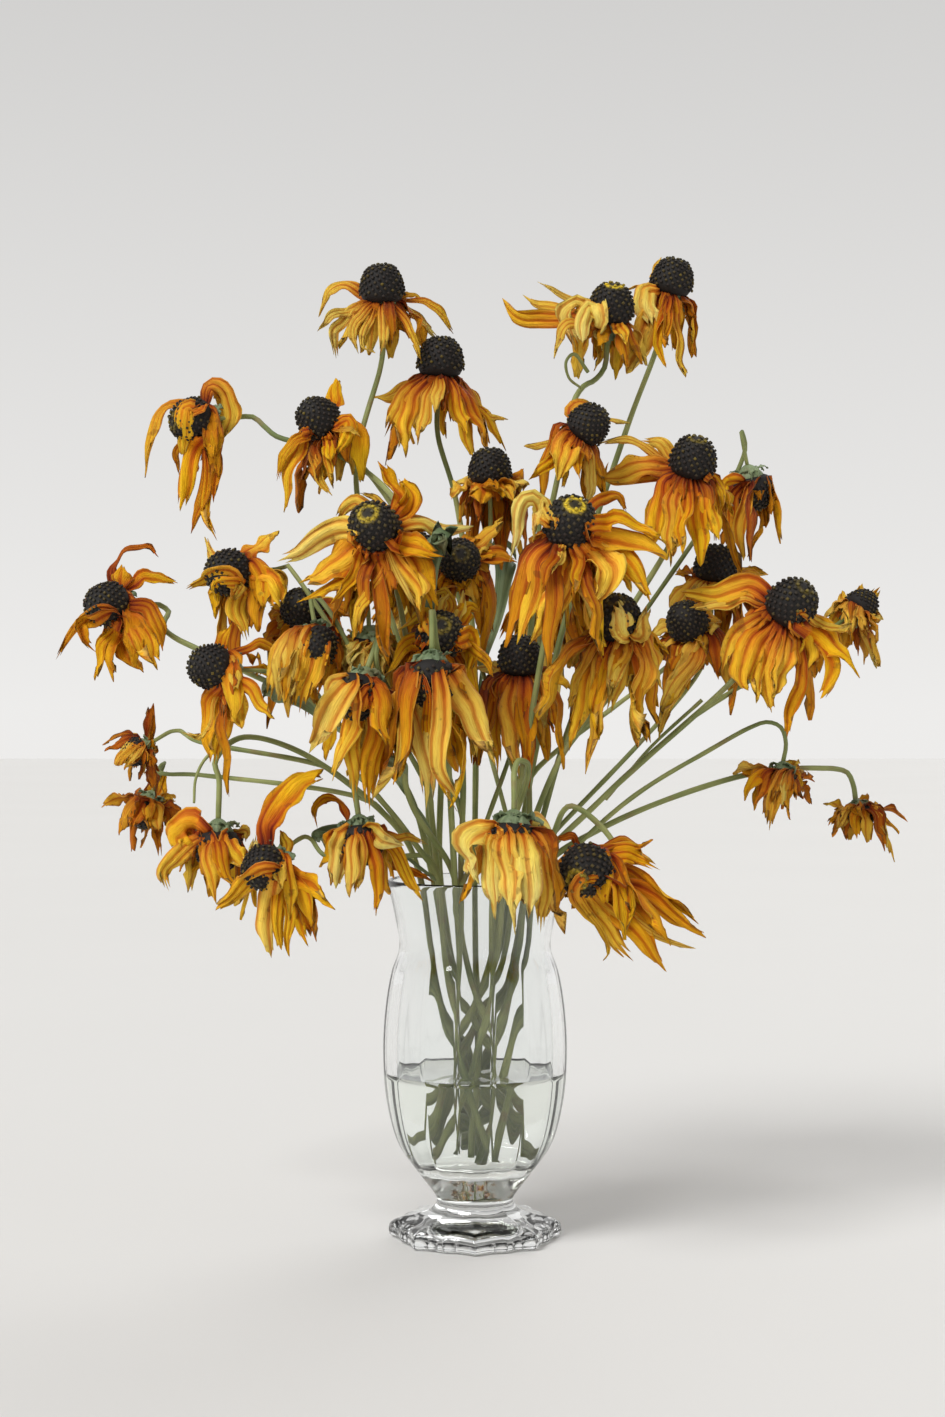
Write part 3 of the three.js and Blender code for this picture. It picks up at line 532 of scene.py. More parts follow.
            (13, -0.3, (450, 646), (470, 646), (484, 658), (497, 676)),
            (18, -0.2, (452, 642), (468, 636), (470, 656), (465, 672)),
        ],
        behind=[
            (11, 0.2, (436, 620), (440, 603), (450, 590)),
            (10, 0.1, (446, 620), (452, 604), (446, 590), (434, 594)),
            (12, 0.7, (450, 622), (460, 607), (463, 590)),
            (17, -0.2, (454, 624), (470, 606), (481, 612)),
        ],
    ),
    "flower_14": dict(
        at=(222, 668), depth=-58, faces=(-0.9, -0.35, 0.1), size=0.95, looks=(0.1, 0.1, 0.0), cup=1,
        drawn=[
            (22, 0.0, (222, 676), (232, 690), (236, 710), (242, 730)),
            (18, -0.1, (218, 680), (207, 704), (203, 730), (203, 757)),
            (22, 0.1, (220, 682), (221, 712), (216, 740), (214, 765)),
            (8, 0.2, (214, 680), (200, 738), (182, 731)),
            (13, 0.0, (230, 676), (251, 690), (260, 706), (277, 718)),
        ],
        behind=[
            (11, -0.1, (232, 666), (262, 668), (289, 687)),
            (10, -0.3, (228, 660), (258, 642), (286, 654)),
            (16, -0.3, (226, 664), (240, 651), (257, 658), (262, 676)),
            (12, -0.4, (222, 656), (220, 645), (232, 624)),
        ],
    ),
    "flower_08": dict(
        at=(691, 470), depth=-20, faces=(0.15, -0.45, 0.88), size=1, looks=(0.1, 0.05, 0.2), cup=1,
        drawn=[
            (20, 0.0, (680, 474), (664, 482), (660, 505), (656, 548)),
            (18, 0.0, (684, 476), (672, 502), (670, 528), (674, 568)),
            (12, -0.1, (688, 477), (687, 502), (683, 525), (687, 556)),
            (18, -0.1, (693, 477), (697, 502), (699, 530), (700, 566)),
            (18, 0.1, (698, 475), (708, 496), (713, 518), (719, 542)),
            (9, -0.2, (702, 472), (716, 480), (723, 497), (721, 518)),
        ],
        behind=[
            (24, 0.0, (680, 468), (654, 466), (632, 472), (600, 479)),
            (14, 0.3, (682, 464), (660, 443), (640, 440)),
            (8, 0.3, (682, 466), (650, 450), (622, 437), (597, 444)),
            (13, 0.3, (684, 470), (636, 481), (604, 476), (609, 461)),
        ],
    ),
    "flower_13": dict(
        at=(118, 605), depth=12, faces=(-0.75, -0.6, 0), size=1, looks=(0.0, 0.25, 0.0), cup=1,
        drawn=[
            (23, 0.0, (122, 610), (136, 625), (146, 646), (156, 672)),
            (22, -0.4, (118, 614), (124, 636), (140, 674)),
            (16, -0.2, (126, 604), (146, 606), (158, 624), (165, 650)),
            (20, -0.1, (114, 616), (106, 642), (106, 682)),
            (12, -0.1, (112, 614), (99, 645), (97, 681)),
            (12, -0.3, (108, 612), (80, 622), (84, 642), (96, 651)),
            (9, -0.2, (108, 610), (80, 618), (68, 640), (57, 660)),
        ],
        behind=[
            (10, -0.8, (112, 594), (109, 568), (126, 550), (148, 545), (160, 557)),
            (20, -0.1, (122, 594), (118, 578), (120, 564)),
            (13, 0.1, (128, 594), (142, 576), (160, 577), (178, 584)),
            (6, -0.7, (110, 600), (86, 604), (90, 592), (98, 586)),
        ],
    ),
    "flower_02": dict(
        at=(610, 317), depth=0, faces=(0.1, -0.45, 0.9), size=1, looks=(0.2, 0.0, 1.0), cup=1,
        drawn=[
            (28, 0.7, (600, 312), (588, 300), (591, 318), (600, 335), (603, 351)),
            (15, 0.8, (600, 314), (574, 300), (566, 316), (575, 351)),
            (14, 0.7, (604, 320), (588, 306), (582, 320), (584, 345)),
            (9, 0.2, (602, 320), (566, 322), (558, 342), (555, 360)),
            (12, 0.0, (616, 324), (622, 334), (626, 346)),
        ],
        behind=[
            (16, 0.0, (600, 312), (545, 319), (519, 321), (508, 309), (499, 298)),
            (11, 0.1, (600, 310), (548, 305), (533, 303), (521, 294)),
            (6, 0.4, (598, 308), (555, 290), (543, 284), (537, 281)),
        ],
    ),
    "flower_06": dict(
        at=(440, 372), depth=45, faces=(0.05, -0.15, 1), size=1.05, looks=(0.1, 0.1, 0.0), cup=1,
        drawn=[
            (14, 0.0, (430, 376), (402, 394), (394, 415), (384, 440)),
            (18, 0.0, (434, 378), (410, 396), (405, 420), (410, 456)),
            (13, 0.3, (438, 379), (426, 398), (420, 420), (420, 447)),
            (12, 0.2, (440, 379), (436, 395), (434, 412)),
            (8, -0.9, (444, 379), (444, 400), (446, 413)),
            (13, 0.0, (446, 378), (455, 395), (460, 418), (470, 435)),
            (13, 0.0, (450, 376), (462, 408), (468, 440), (473, 460)),
            (13, -0.5, (450, 374), (468, 398), (482, 424), (485, 458)),
        ],
        behind=[
            (20, 0.1, (430, 370), (400, 386), (376, 401)),
            (13, 0.1, (450, 370), (472, 394), (490, 416), (508, 420)),
            (11, 0.0, (448, 372), (488, 418), (502, 437), (509, 450)),
        ],
    ),
    "flower_04": dict(
        at=(203, 420), depth=15, faces=(-0.85, -0.45, -0.1), size=1, looks=(0.1, 0.05, 0.2), cup=1,
        drawn=[
            (15, 0.0, (196, 408), (168, 402), (153, 416), (149, 448), (147, 478)),
            (17, 0.0, (198, 412), (185, 406), (182, 432), (180, 454)),
            (18, 0.0, (202, 430), (192, 448), (186, 480), (180, 512)),
            (12, -0.5, (206, 432), (208, 470), (199, 508), (189, 533)),
            (10, -0.1, (208, 432), (206, 480), (206, 518), (217, 543)),
            (11, -0.7, (208, 430), (217, 470), (214, 503)),
        ],
        behind=[
            (22, 0.1, (204, 408), (210, 384), (224, 390), (225, 415), (220, 448)),
            (8, -0.8, (196, 426), (176, 452), (180, 475)),
        ],
    ),
    "flower_01": dict(
        at=(382, 298), depth=35, faces=(0, -0.25, 1), size=1, looks=(0.15, 0.0, 0.0), cup=1,
        drawn=[
            (9, 0.4, (372, 301), (350, 309), (333, 316), (317, 333)),
            (10, 0.6, (374, 302), (350, 310), (333, 333), (337, 357)),
            (9, 0.2, (376, 304), (353, 322), (353, 338), (359, 353)),
            (7, 0.3, (378, 305), (366, 328), (362, 344), (372, 357)),
            (10, 0.3, (384, 305), (383, 325), (384, 342), (380, 359)),
            (7, 0.1, (390, 303), (409, 325), (417, 341), (424, 358)),
        ],
        behind=[
            (12, 0.2, (372, 294), (344, 284), (327, 288), (317, 317)),
            (12, 0.7, (392, 300), (420, 320), (438, 341)),
            (9, 0.1, (393, 297), (424, 300), (443, 317), (455, 333)),
            (6, 0.0, (393, 294), (415, 294), (425, 300)),
        ],
    ),
    "flower_05": dict(
        at=(325, 426), depth=0, faces=(-0.6, -0.5, 0.6), size=0.95, looks=(0.1, 0.05, 0.0), cup=1,
        drawn=[
            (14, 0.0, (316, 428), (304, 432), (291, 460), (286, 486), (282, 512)),
            (10, -0.1, (318, 430), (298, 436), (284, 455), (276, 480)),
            (13, 0.0, (326, 434), (329, 446), (331, 463)),
            (8, 0.1, (320, 434), (312, 455), (319, 480), (333, 497)),
            (7, 0.0, (326, 436), (329, 470), (336, 490)),
            (14, -0.1, (332, 430), (348, 420), (348, 438), (340, 453)),
            (5, 0.4, (334, 430), (352, 429), (362, 440)),
        ],
        behind=[
            (16, 0.1, (330, 416), (333, 396), (334, 377)),
            (9, -0.3, (318, 418), (311, 414), (317, 430), (312, 441)),
        ],
    ),
    "flower_07": dict(
        at=(582, 432), depth=-25, faces=(0.55, -0.35, 0.6), size=0.9, looks=(0.1, 0.05, 0.0), cup=1,
        drawn=[
            (25, 0.1, (574, 434), (565, 446), (562, 462), (559, 480)),
            (10, -0.5, (580, 438), (576, 462), (580, 480)),
            (11, -0.2, (574, 438), (546, 466), (526, 482)),
            (12, 0.5, (586, 440), (593, 470), (592, 488), (589, 504)),
        ],
        behind=[
            (9, 0.2, (573, 432), (556, 440), (540, 445), (524, 447)),
            (16, 0.1, (578, 422), (576, 408), (588, 410), (596, 426)),
            (9, 0.3, (590, 424), (602, 419), (631, 421)),
        ],
    ),
    "flower_11": dict(
        at=(238, 572), depth=-28, faces=(-0.7, -0.65, -0.1), size=1, looks=(0.1, 0.05, 0.0), cup=1.3,
        drawn=[
            (14, 0.1, (230, 574), (210, 576), (187, 590)),
            (12, 0.0, (232, 578), (217, 586), (217, 603)),
            (10, 0.2, (236, 580), (230, 586), (236, 597)),
            (19, 0.1, (240, 581), (238, 605), (247, 641)),
            (24, 0.0, (246, 578), (268, 580), (280, 608)),
        ],
        behind=[
            (18, 0.2, (230, 566), (212, 560), (203, 537)),
            (22, 0.2, (240, 562), (248, 555), (278, 529)),
            (8, 0.3, (247, 572), (284, 572), (288, 592)),
        ],
    ),
    "flower_03": dict(
        at=(670, 290), depth=30, faces=(0.2, -0.2, 0.95), size=0.95, looks=(0.15, 0.05, 0.0), cup=1,
        drawn=[
            (20, 0.7, (662, 290), (646, 286), (646, 305), (653, 326)),
            (22, 0.1, (664, 294), (652, 325), (640, 350), (627, 375)),
            (9, 0.0, (668, 297), (656, 345), (667, 369)),
            (9, -0.5, (670, 297), (665, 325), (660, 348)),
            (9, 0.1, (676, 295), (676, 330), (677, 358), (684, 379)),
        ],
        behind=[
            (12, 0.1, (664, 282), (654, 274), (661, 255)),
            (8, 0.2, (660, 286), (642, 284), (628, 290)),
            (7, 0.1, (680, 288), (686, 304), (691, 324)),
        ],
    ),
    "flower_09": dict(
        at=(750, 480), depth=45, faces=(0.2, 0.2, -0.9), size=0.95, looks=(0.05, 0.25, 0.0), cup=1,
        drawn=[
            (10, -0.1, (744, 482), (726, 482), (721, 498)),
            (12, -0.1, (746, 484), (734, 498), (731, 530), (727, 561)),
            (12, 0.1, (750, 485), (745, 510), (740, 535), (741, 560)),
        ],
        behind=[
            (10, -0.2, (758, 482), (770, 495), (762, 520), (747, 557)),
            (10, 0.0, (756, 484), (762, 500), (752, 526)),
            (9, -0.1, (748, 480), (738, 512), (735, 545)),
        ],
    ),
}

# %% [markdown]
# ## The other heads
# These are partly hidden or small, and the last two aren't seen at all: they stand for the far side. near
# and far hold the pixels where their petals end, and width is in millimetres.

# %% Heads with listed tips
LISTED = {
    "flower_18": dict(
        at=(618, 628), depth=-62, faces=(-0.1, -0.6, 0.75), size=1, width=10,
        looks=(0.1, 0.1, 0.1), cup=1,
        near=[(543, 722), (570, 752), (588, 775), (606, 700), (628, 748), (660, 690)],
        far=[(585, 640), (636, 668), (668, 655)],
        drawn=[
            (22, 0.8, (628, 634), (634, 642), (625, 618), (620, 601)),
            (13, 0.7, (630, 636), (640, 636), (644, 604)),
        ],
    ),
    "flower_21": dict(
        at=(316, 638), depth=-64, faces=(0.1, -0.5, -0.7), size=0.9, width=13,
        looks=(0.3, 0.1, 0), cup=1.4,
        near=[(270, 701), (285, 706), (299, 713), (320, 697)],
        far=[(288, 660), (306, 622), (345, 672)],
    ),
    "flower_22": dict(
        at=(369, 640), depth=-50, faces=(0, 0.2, -0.95), size=0.85, width=10,
        looks=(0.95, 0, 0), cup=1.5,
        near=[(338, 668), (347, 670), (376, 680), (384, 678)],
        far=[(352, 645), (388, 655)],
    ),
    "flower_36": dict(
        at=(690, 628), depth=-12, faces=(-0.3, -0.6, 0.5), size=0.9, width=11,
        looks=(0.2, 0.2, 0), cup=1,
        near=[(663, 650), (672, 672), (655, 740), (704, 655)],
        far=[(650, 640), (680, 603), (722, 622)],
    ),
    "flower_37": dict(
        at=(458, 562), depth=-28, faces=(0.1, -0.9, 0.2), size=0.9, width=11,
        looks=(0.1, 0.35, 0.1), cup=1,
        near=[(420, 577), (442, 592), (462, 590), (478, 600)],
        far=[(430, 545), (470, 548), (505, 520), (518, 562)],
    ),
    "flower_35": dict(
        at=(520, 668), depth=-25, faces=(0, -0.3, 0.8), size=0.95, width=10,
        looks=(0.05, 0.35, 0), cup=1,
        near=[(497, 775), (515, 780), (530, 790), (545, 748)],
        far=[(475, 668), (500, 690), (558, 720), (575, 692)],
    ),
    "flower_34": dict(
        at=(490, 480), depth=25, faces=(0, -0.2, 0.9), size=0.95, width=11,
        looks=(0.05, 0.35, 0), cup=1,
        near=[(452, 500), (480, 505), (514, 502), (530, 484)],
        far=[(455, 480), (500, 465), (524, 470)],
    ),
    "flower_38": dict(
        at=(304, 612), depth=-8, faces=(-0.2, -0.85, 0.3), size=0.9, width=10,
        looks=(0.05, 0.4, 0), cup=1,
        near=[(262, 650), (280, 640), (345, 642)],
        far=[(270, 606), (298, 592), (340, 608), (356, 622)],
    ),
    "flower_33": dict(
        at=(714, 576), depth=32, faces=(0.1, -0.3, 0.9), size=0.95, width=11,
        looks=(0.1, 0.3, 0), cup=1,
        near=[(668, 614), (690, 618), (736, 618), (752, 604)],
        far=[(675, 575), (730, 552), (768, 575)],
    ),
    "flower_17": dict(
        at=(856, 610), depth=30, faces=(0.7, 0.4, 0.5), size=0.75, width=8,
        looks=(0.3, 0.2, 0), cup=1,
        near=[(822, 617), (851, 634), (880, 642)],
        far=[(842, 592), (861, 586), (880, 588), (884, 618)],
    ),
    "flower_30": dict(
        at=(782, 772), depth=10, faces=(-0.1, -0.1, -0.95), size=0.65, width=8,
        looks=(0.05, 0.45, 0), cup=1.4,
        near=[(746, 796), (755, 806), (768, 831), (787, 820), (798, 800)],
        far=[(738, 773), (813, 785), (799, 760)],
    ),
    "flower_31": dict(
        at=(858, 809), depth=38, faces=(0.2, -0.2, -0.9), size=0.65, width=8,
        looks=(0.15, 0.3, 0), cup=1,
        near=[(828, 826), (838, 822), (855, 838), (884, 852), (895, 862)],
        far=[(823, 803), (880, 804), (908, 822)],
    ),
    "flower_23": dict(
        at=(142, 748), depth=25, faces=(-0.7, -0.3, -0.4), size=0.65, width=7,
        looks=(0, 0.6, 0), cup=1,
        near=[(101, 742), (105, 752), (115, 765), (124, 770), (152, 768)],
        far=[(128, 736), (157, 703), (156, 742)],
    ),
    "flower_24": dict(
        at=(148, 803), depth=62, faces=(-0.3, -0.2, -0.8), size=0.8, width=10,
        looks=(0, 0.55, 0), cup=1,
        near=[(100, 806), (118, 835), (130, 833), (158, 830), (183, 814)],
        far=[(117, 801), (165, 772), (176, 795)],
    ),
    "flower_39": dict(
        at=(420, 560), depth=105, faces=(-0.3, 0.6, 0.7), size=1, width=12,
        looks=(0.2, 0.1, 0.2), cup=1,
        near=[(370, 600), (400, 640), (440, 650), (470, 610)],
        far=[(350, 600), (385, 650), (425, 665), (455, 655), (480, 620)],
    ),
    "flower_40": dict(
        at=(560, 590), depth=112, faces=(0.35, 0.65, 0.6), size=1, width=12,
        looks=(0.2, 0.2, 0.2), cup=1,
        near=[(515, 640), (545, 680), (580, 680), (610, 640)],
        far=[(500, 640), (530, 690), (565, 705), (600, 690), (625, 650)],
    ),
}

FLOWERS = {**DRAWN, **LISTED}
HEAD = dict(ring=6.5, foot=-8, side=12.6, shoulder=3, tip=19.5)
PETAL_SPREAD = 26
print("heads:", len(FLOWERS), "of which", len(DRAWN), "have drawn petals")

# %% [markdown]
# ## Limp sheets: petals, bracts and leaves
# A petal could be cloth that a simulation lets down, but then it wouldn't end where it does in the
# photograph. So a curve is its midrib, either through the places where it is seen or a cubic that leaves
# the cone sideways and reaches its tip hanging. The sheet is carried along it. Across, it is an arc whose
# edges curl in, with pleats and a ruffle on the edges, and it twists on its way.

# %% Curves


def through(points, samples):
    """Centripetal Catmull-Rom spline: a cubic between each two points, with times that grow with the
    square root of the distance between them, and samples spaced evenly along its length."""
    points = np.array(points, float)
    whole = np.vstack([2 * points[0] - points[1], points, 2 * points[-1] - points[-2]])
    time = np.linalg.norm(np.diff(whole, axis=0), axis=1) ** 0.5

    def at(t):
        spot = np.minimum((t * (len(points) - 1)).astype(int), len(points) - 2)
        w = (t * (len(points) - 1) - spot)[:, None]
        a, b, c, d = whole[spot], whole[spot + 1], whole[spot + 2], whole[spot + 3]
        ta, tb, tc = time[spot][:, None], time[spot + 1][:, None], time[spot + 2][:, None]
        leave = tb * ((b - a) / ta - (c - a) / (ta + tb) + (c - b) / tb)
        reach = tb * ((c - b) / tb - (d - b) / (tb + tc) + (d - c) / tc)
        bend = (3 * (c - b) - 2 * leave - reach) * w ** 2
        return b + leave * w + bend + (2 * (b - c) + leave + reach) * w ** 3

    t = np.linspace(0, 1, 201)
    lengths = np.append(0, np.cumsum(np.linalg.norm(np.diff(at(t), axis=0), axis=1)))
    return at(np.interp(np.linspace(0, lengths[-1], samples + 1), lengths, t))


MIDRIB_STEPS = 32


def bezier(ends):
    """Samples of cubic curves: their four points weighed by the Bernstein polynomials of u."""
    u = np.linspace(0, 1, MIDRIB_STEPS + 1)[None, :, None]
    a, b, c, d = (ends[:, i, None] for i in range(4))
    return (1 - u) ** 3 * a + 3 * (1 - u) ** 2 * u * b + 3 * (1 - u) * u ** 2 * c + u ** 3 * d


def along_midribs(midribs, u):
    """Point and direction at each share u of the samples, both blended between the two nearest samples."""
    directions = unit(np.gradient(midribs, axis=1))
    spot = np.clip(u, 0, 1) * MIDRIB_STEPS
    low = np.minimum(spot.astype(int), MIDRIB_STEPS - 1)
    share = (spot - low)[..., None]
    each = np.arange(len(midribs))[:, None, None]
    point = midribs[each, low] * (1 - share) + midribs[each, low + 1] * share
    return point, unit(directions[each, low] * (1 - share) + directions[each, low + 1] * share)


# %% A limp sheet along its midrib
LIMP = dict(notch=(0.0, 0.1), notches=(2.0, 3.6), round_tip=(0.04, 0.2), twist=(-0.9, 0.9), turns=(0.6, 1.4),
            widest=(0.75, 1.3), curl=(0.3, 1.8), upwards=0.7, pleats=(1.6, 3.3), pleat=(0.1, 0.24),
            ruffles=(1.2, 3.2), ruffle=(0.12, 0.5), drifts=(0.8, 1.9), lifts=(0.9, 2.2), hook=(-0.07, 0.09))


def petal_width(u, widest):
    """A neck of a quarter of the width, and a sine of a power of u that is widest before or after the
    middle."""
    return 0.26 + 0.74 * np.sin(np.pi * np.clip(u, 0, 0.97) ** widest) ** 0.7


def limp_sheets(midribs, facing, width, rng, rows=22, columns=11, thick=0.5, limp=1.0, outline=None):
    """Sheets along midribs. With v from -1 to 1 across, x = h sin(cv)/c and y = h (1 - cos(cv))/c curl
    the section by the angle c, where h is so much larger than half the width that the curled sheet is
    as wide as asked. Cosines of v add pleats, v squared times a sine of u ruffles the edges, and the
    section turns by an angle that grows with u. Each point's u falls back from 1 towards the edges,
    which rounds the tip. Gives both sides, u, and how near to the crest of a pleat each point is."""
    count = len(midribs)
    u = np.linspace(0, 1, rows)[None, :, None] * np.ones((count, 1, columns))
    v = np.linspace(-1, 1, columns)[None, None, :] * np.ones((count, rows, 1))

    def each(low, high):
        return rng.uniform(low, high, count)[:, None, None]

    ragged = each(*LIMP["notch"]) * (1 - np.cos(each(*LIMP["notches"]) * np.pi * v + each(-0.5, 0.5)))
    back = each(*LIMP["round_tip"]) * np.abs(v) ** 1.7 + ragged
    point, along = along_midribs(midribs, u - u ** 5 * back)
    side = unit(np.cross(np.broadcast_to(facing[:, None, None, :], along.shape), along))
    up = np.cross(along, side)
    twist = limp * each(*LIMP["twist"]) * u ** 1.6
    turn = (twist + limp * 0.3 * np.sin(2 * np.pi * u * each(*LIMP["turns"]) + each(0, 6)) * u)[..., None]
    side, up = side * np.cos(turn) + up * np.sin(turn), up * np.cos(turn) - side * np.sin(turn)
    length = np.linalg.norm(np.diff(midribs, axis=1), axis=-1).sum(axis=1)[:, None, None]
    shape = petal_width(u, each(*LIMP["widest"])) if outline is None else np.interp(u, *outline)
    half = width[:, None, None] / 2 * shape
    curl = np.maximum(0.15, each(*LIMP["curl"]) * (0.3 + 0.7 * u))
    half = half * curl / np.sin(np.minimum(curl, np.pi / 2))
    x = half * np.sin(curl * v) / curl
    y = half * (1 - np.cos(curl * v)) / curl * np.where(each(0, 1) < LIMP["upwards"], -1, 1)
    wave = np.cos(np.pi * each(*LIMP["pleats"]) * v + each(0, 6) + each(-0.8, 0.8) * u)
    y = y + half * each(*LIMP["pleat"]) * wave * (0.5 + 0.5 * u)
    ruffle = np.sin(2 * np.pi * each(*LIMP["ruffles"]) * u + each(0, 6) + v * each(-1.5, 1.5))
    on_edges = v ** 2 * np.sin(np.pi * np.clip(u * 1.1, 0, 1)) ** 0.5
    y = y + limp * half * each(*LIMP["ruffle"]) * ruffle * on_edges
    sway = np.sin(np.pi * u) * length * limp
    drift = sway * 0.018 * np.sin(2 * np.pi * each(*LIMP["drifts"]) * u + each(0, 6))
    lift = sway * 0.024 * np.sin(2 * np.pi * each(*LIMP["lifts"]) * u + each(0, 6))
    hook = limp * length * each(*LIMP["hook"]) * np.clip((u - 0.76) / 0.24, 0, 1) ** 2
    upper = point + side * (x + drift)[..., None] + up * (y + lift + hook)[..., None]
    lower = upper - up * (thick * (1 - 0.5 * v ** 2))[..., None]
    return upper, lower, u[0, :, 0], 0.5 + 0.5 * wave


# %% [markdown]
# ## One head
# A petal that is drawn starts from the place on the ring that is nearest to its first pixel. Its depth is
# not in the photograph: it goes as far to the front or the back as the ring faces there. A listed petal
# has only its tip. The ring of a real head is full, so each gets fillers: petals of its hidden side, and
# short dark ones between the rest.

# %% Where a head's petals run


def head_frame(flower):
    """The middle of the petal ring, the cone's direction, and two directions across it: right, and far or
    up."""
    axis = unit(np.array(flower["faces"], float))
    right = unit(np.array([1.0, 0.0, 0.0]) - axis * axis[0])
    far = np.cross(axis, right)
    return place(flower["at"], flower["depth"]), axis, right, far if far[1] + far[2] > 0 else -far


def ring_of(flower, angles):
    """Points of the petal ring, which is a little under the cone, and the directions out of it."""
    middle, axis, right, far = head_frame(flower)
    out = np.cos(angles)[:, None] * right + np.sin(angles)[:, None] * far
    return middle + (out * HEAD["ring"] - axis) * flower["size"], out


def hanging(start, out, end, rng):
    """Midribs that leave the ring outwards and come to their tips hanging, the more the further these are
    below."""
    length = np.linalg.norm(end - start, axis=-1, keepdims=True)
    hang = np.clip(0.3 - (end - start)[:, 2:] / length, 0, 1.2)
    arrival = unit((end - start) / length + hang * np.array([0.0, 0.0, -1.0]))
    leave = start + out * length * rng.uniform(0.2, 0.42, length.shape)
    return bezier(np.stack([start, leave, end - arrival * 0.4 * length, end], axis=1))


def listed_petals(flower, rng):
    """Listed petals round the ring, and two in each gap, whose tips are a share of the way between the
    listed ones, drawn back and shifted a bit."""
    near, far = (np.array(flower[half], float) for half in ("near", "far"))
    near_angles = math.pi * (1 + (np.arange(len(near)) + 0.5) / len(near))
    far_angles = math.pi * (1 - (np.arange(len(far)) + 0.5) / len(far))
    angles = np.concatenate([far_angles[::-1], near_angles])
    tips = np.concatenate([far[::-1], near])
    step = np.append(angles[1:], angles[0] + 2 * math.pi) - angles
    groups = []
    for share, low, high in ((0.0, 1.0, 1.0), (0.35, 0.6, 1.0), (0.7, 0.5, 0.9)):
        turned = angles + share * step
        pixels = tips * (1 - share) + np.roll(tips, -1, axis=0) * share
        pixels = np.array(flower["at"]) + (pixels - flower["at"]) * rng.uniform(low, high, (len(tips), 1))
        if share:
            pixels = pixels + rng.normal(0, 6.0, pixels.shape)
        start, out = ring_of(flower, turned)
        end = place(pixels, flower["depth"] + out[:, 1] * PETAL_SPREAD * flower["size"])
        width = flower["width"] * rng.uniform(0.6 if share else 0.95, 1.0 if share else 1.25, len(tips))
        groups.append((hanging(start, out, end, rng), out, width, rng.normal(0, 0.3, len(tips))))
    return groups


ROUTE_POINTS, CONE_GIRTH = 10, 13.5


def before_cone(flower, route, depth):
    """Depths of a near petal, brought to the front of the cone wherever its pixels are over it."""
    middle, axis, _, _ = head_frame(flower)
    centre = middle + axis * 5.5 * flower["size"]
    away = place(route, centre[1]) - centre
    girth = CONE_GIRTH * flower["size"]
    front = centre[1] - np.sqrt(np.maximum(0, girth ** 2 - away[:, 0] ** 2 - away[:, 2] ** 2)) - 1.5
    over = (np.hypot(away[:, 0], away[:, 2]) < girth) & (np.arange(len(route)) > 0)
    return np.where(over, np.minimum(depth, front), depth)


def drawn_petal(flower, petal, half, rng):
    """A midrib through drawn pixels from the nearest ring point of its half, -1 for near and 1 for far."""
    width, shade, *pixels = petal
    pixels = np.array(pixels, float)
    angles = np.linspace(0, 2 * math.pi, 72, endpoint=False)
    starts, outs = ring_of(flower, angles)
    start_pixels = pixels_of(starts)
    wrong = 60 * np.maximum(0, -half * outs[:, 1])
    nearest = np.argmin(np.linalg.norm(start_pixels - pixels[0], axis=1) + wrong)
    route = [start_pixels[nearest]] + [p for p in pixels if np.linalg.norm(p - start_pixels[nearest]) > 12]
    steps = np.linalg.norm(np.diff(route, axis=0), axis=1)
    corner = np.append(0, np.cumsum(steps)) / steps.sum()
    share = np.linspace(0, 1, ROUTE_POINTS)
    route = np.stack([np.interp(share, corner, np.array(route)[:, i]) for i in (0, 1)], -1)
    reach = (half * 0.35 + outs[nearest, 1]) / 1.35 * PETAL_SPREAD * flower["size"] * rng.uniform(0.6, 1.1)
    hangs = head_frame(flower)[1][2] < 0.1
    depth = starts[nearest, 1] + reach * share ** (0.35 if hangs else 0.7)
    if half < 0:
        depth = before_cone(flower, route, depth)
    midrib = through(place(route, depth), MIDRIB_STEPS)
    return midrib, outs[nearest], width * (DISTANCE + flower["depth"]) / FOCAL * 1.2, shade


THICKET = dict(at=(500, 590), size=(230, 150))


def filler_petals(flower, rng):
    """Petals on the hidden side and, in the thicket of the bouquet's middle, more and longer ones on all
    sides, and eight short dark ones: they go out of the ring and hang from there."""
    groups = []
    spot = (np.array(flower["at"]) - THICKET["at"]) / THICKET["size"]
    full = math.exp(-spot @ spot)
    hidden_side = np.linspace(0.05, 0.95, 6 + round(7 * full)) * math.pi
    all_sides = rng.uniform(0, 2 * math.pi, round(7 * full))
    between = np.arange(8) * math.pi / 4 + 0.4
    for angles, out_reach, drop, width, shade in (
            (hidden_side, (8, 20), (20, 42 + 26 * full), (8, 14), (-0.6, 0.3)),
            (all_sides, (10, 26), (34, 62), (7, 12), (-0.9, -0.1)),
            (between, (5, 13), (12, 30), (5, 9), (-1.0, -0.4))):
        count = len(angles)
        if count == 0:
            continue
        start, out = ring_of(flower, angles + rng.normal(0, 0.1, count))
        level = unit(out * np.array([1.0, 1.0, 0.3]))
        sideways = rng.uniform(*out_reach, (count, 1)) * flower["size"]
        down = rng.uniform(*drop, (count, 1)) * flower["size"] * np.array([0.0, 0.0, -1.0])
        midribs = hanging(start, out, start + level * sideways + down, rng)
        widths = rng.uniform(*width, count) * flower["size"]
        groups.append((midribs, out, widths, rng.uniform(*shade, count)))
    return groups


def petal_part(flower, group, facing, rng, rows, columns):
    """Sheets on a group's midribs, with the tones of this head shifted by each petal's own shade."""
    midribs, out, width, shade = group
    pale, burnt, _ = flower["looks"]
    count = len(width)
    tone = np.stack([rng.uniform(0, 1, count), np.clip(pale + shade + rng.normal(0, 0.1, count), 0, 1),
                     np.clip(burnt - shade + rng.normal(0, 0.1, count), 0, 1)], -1)
    return slabs(limp_sheets(midribs, facing, width, rng, rows, columns), tone, PETAL)


LISTED_GRID, FILLER_GRID = (18, 9), (12, 6)


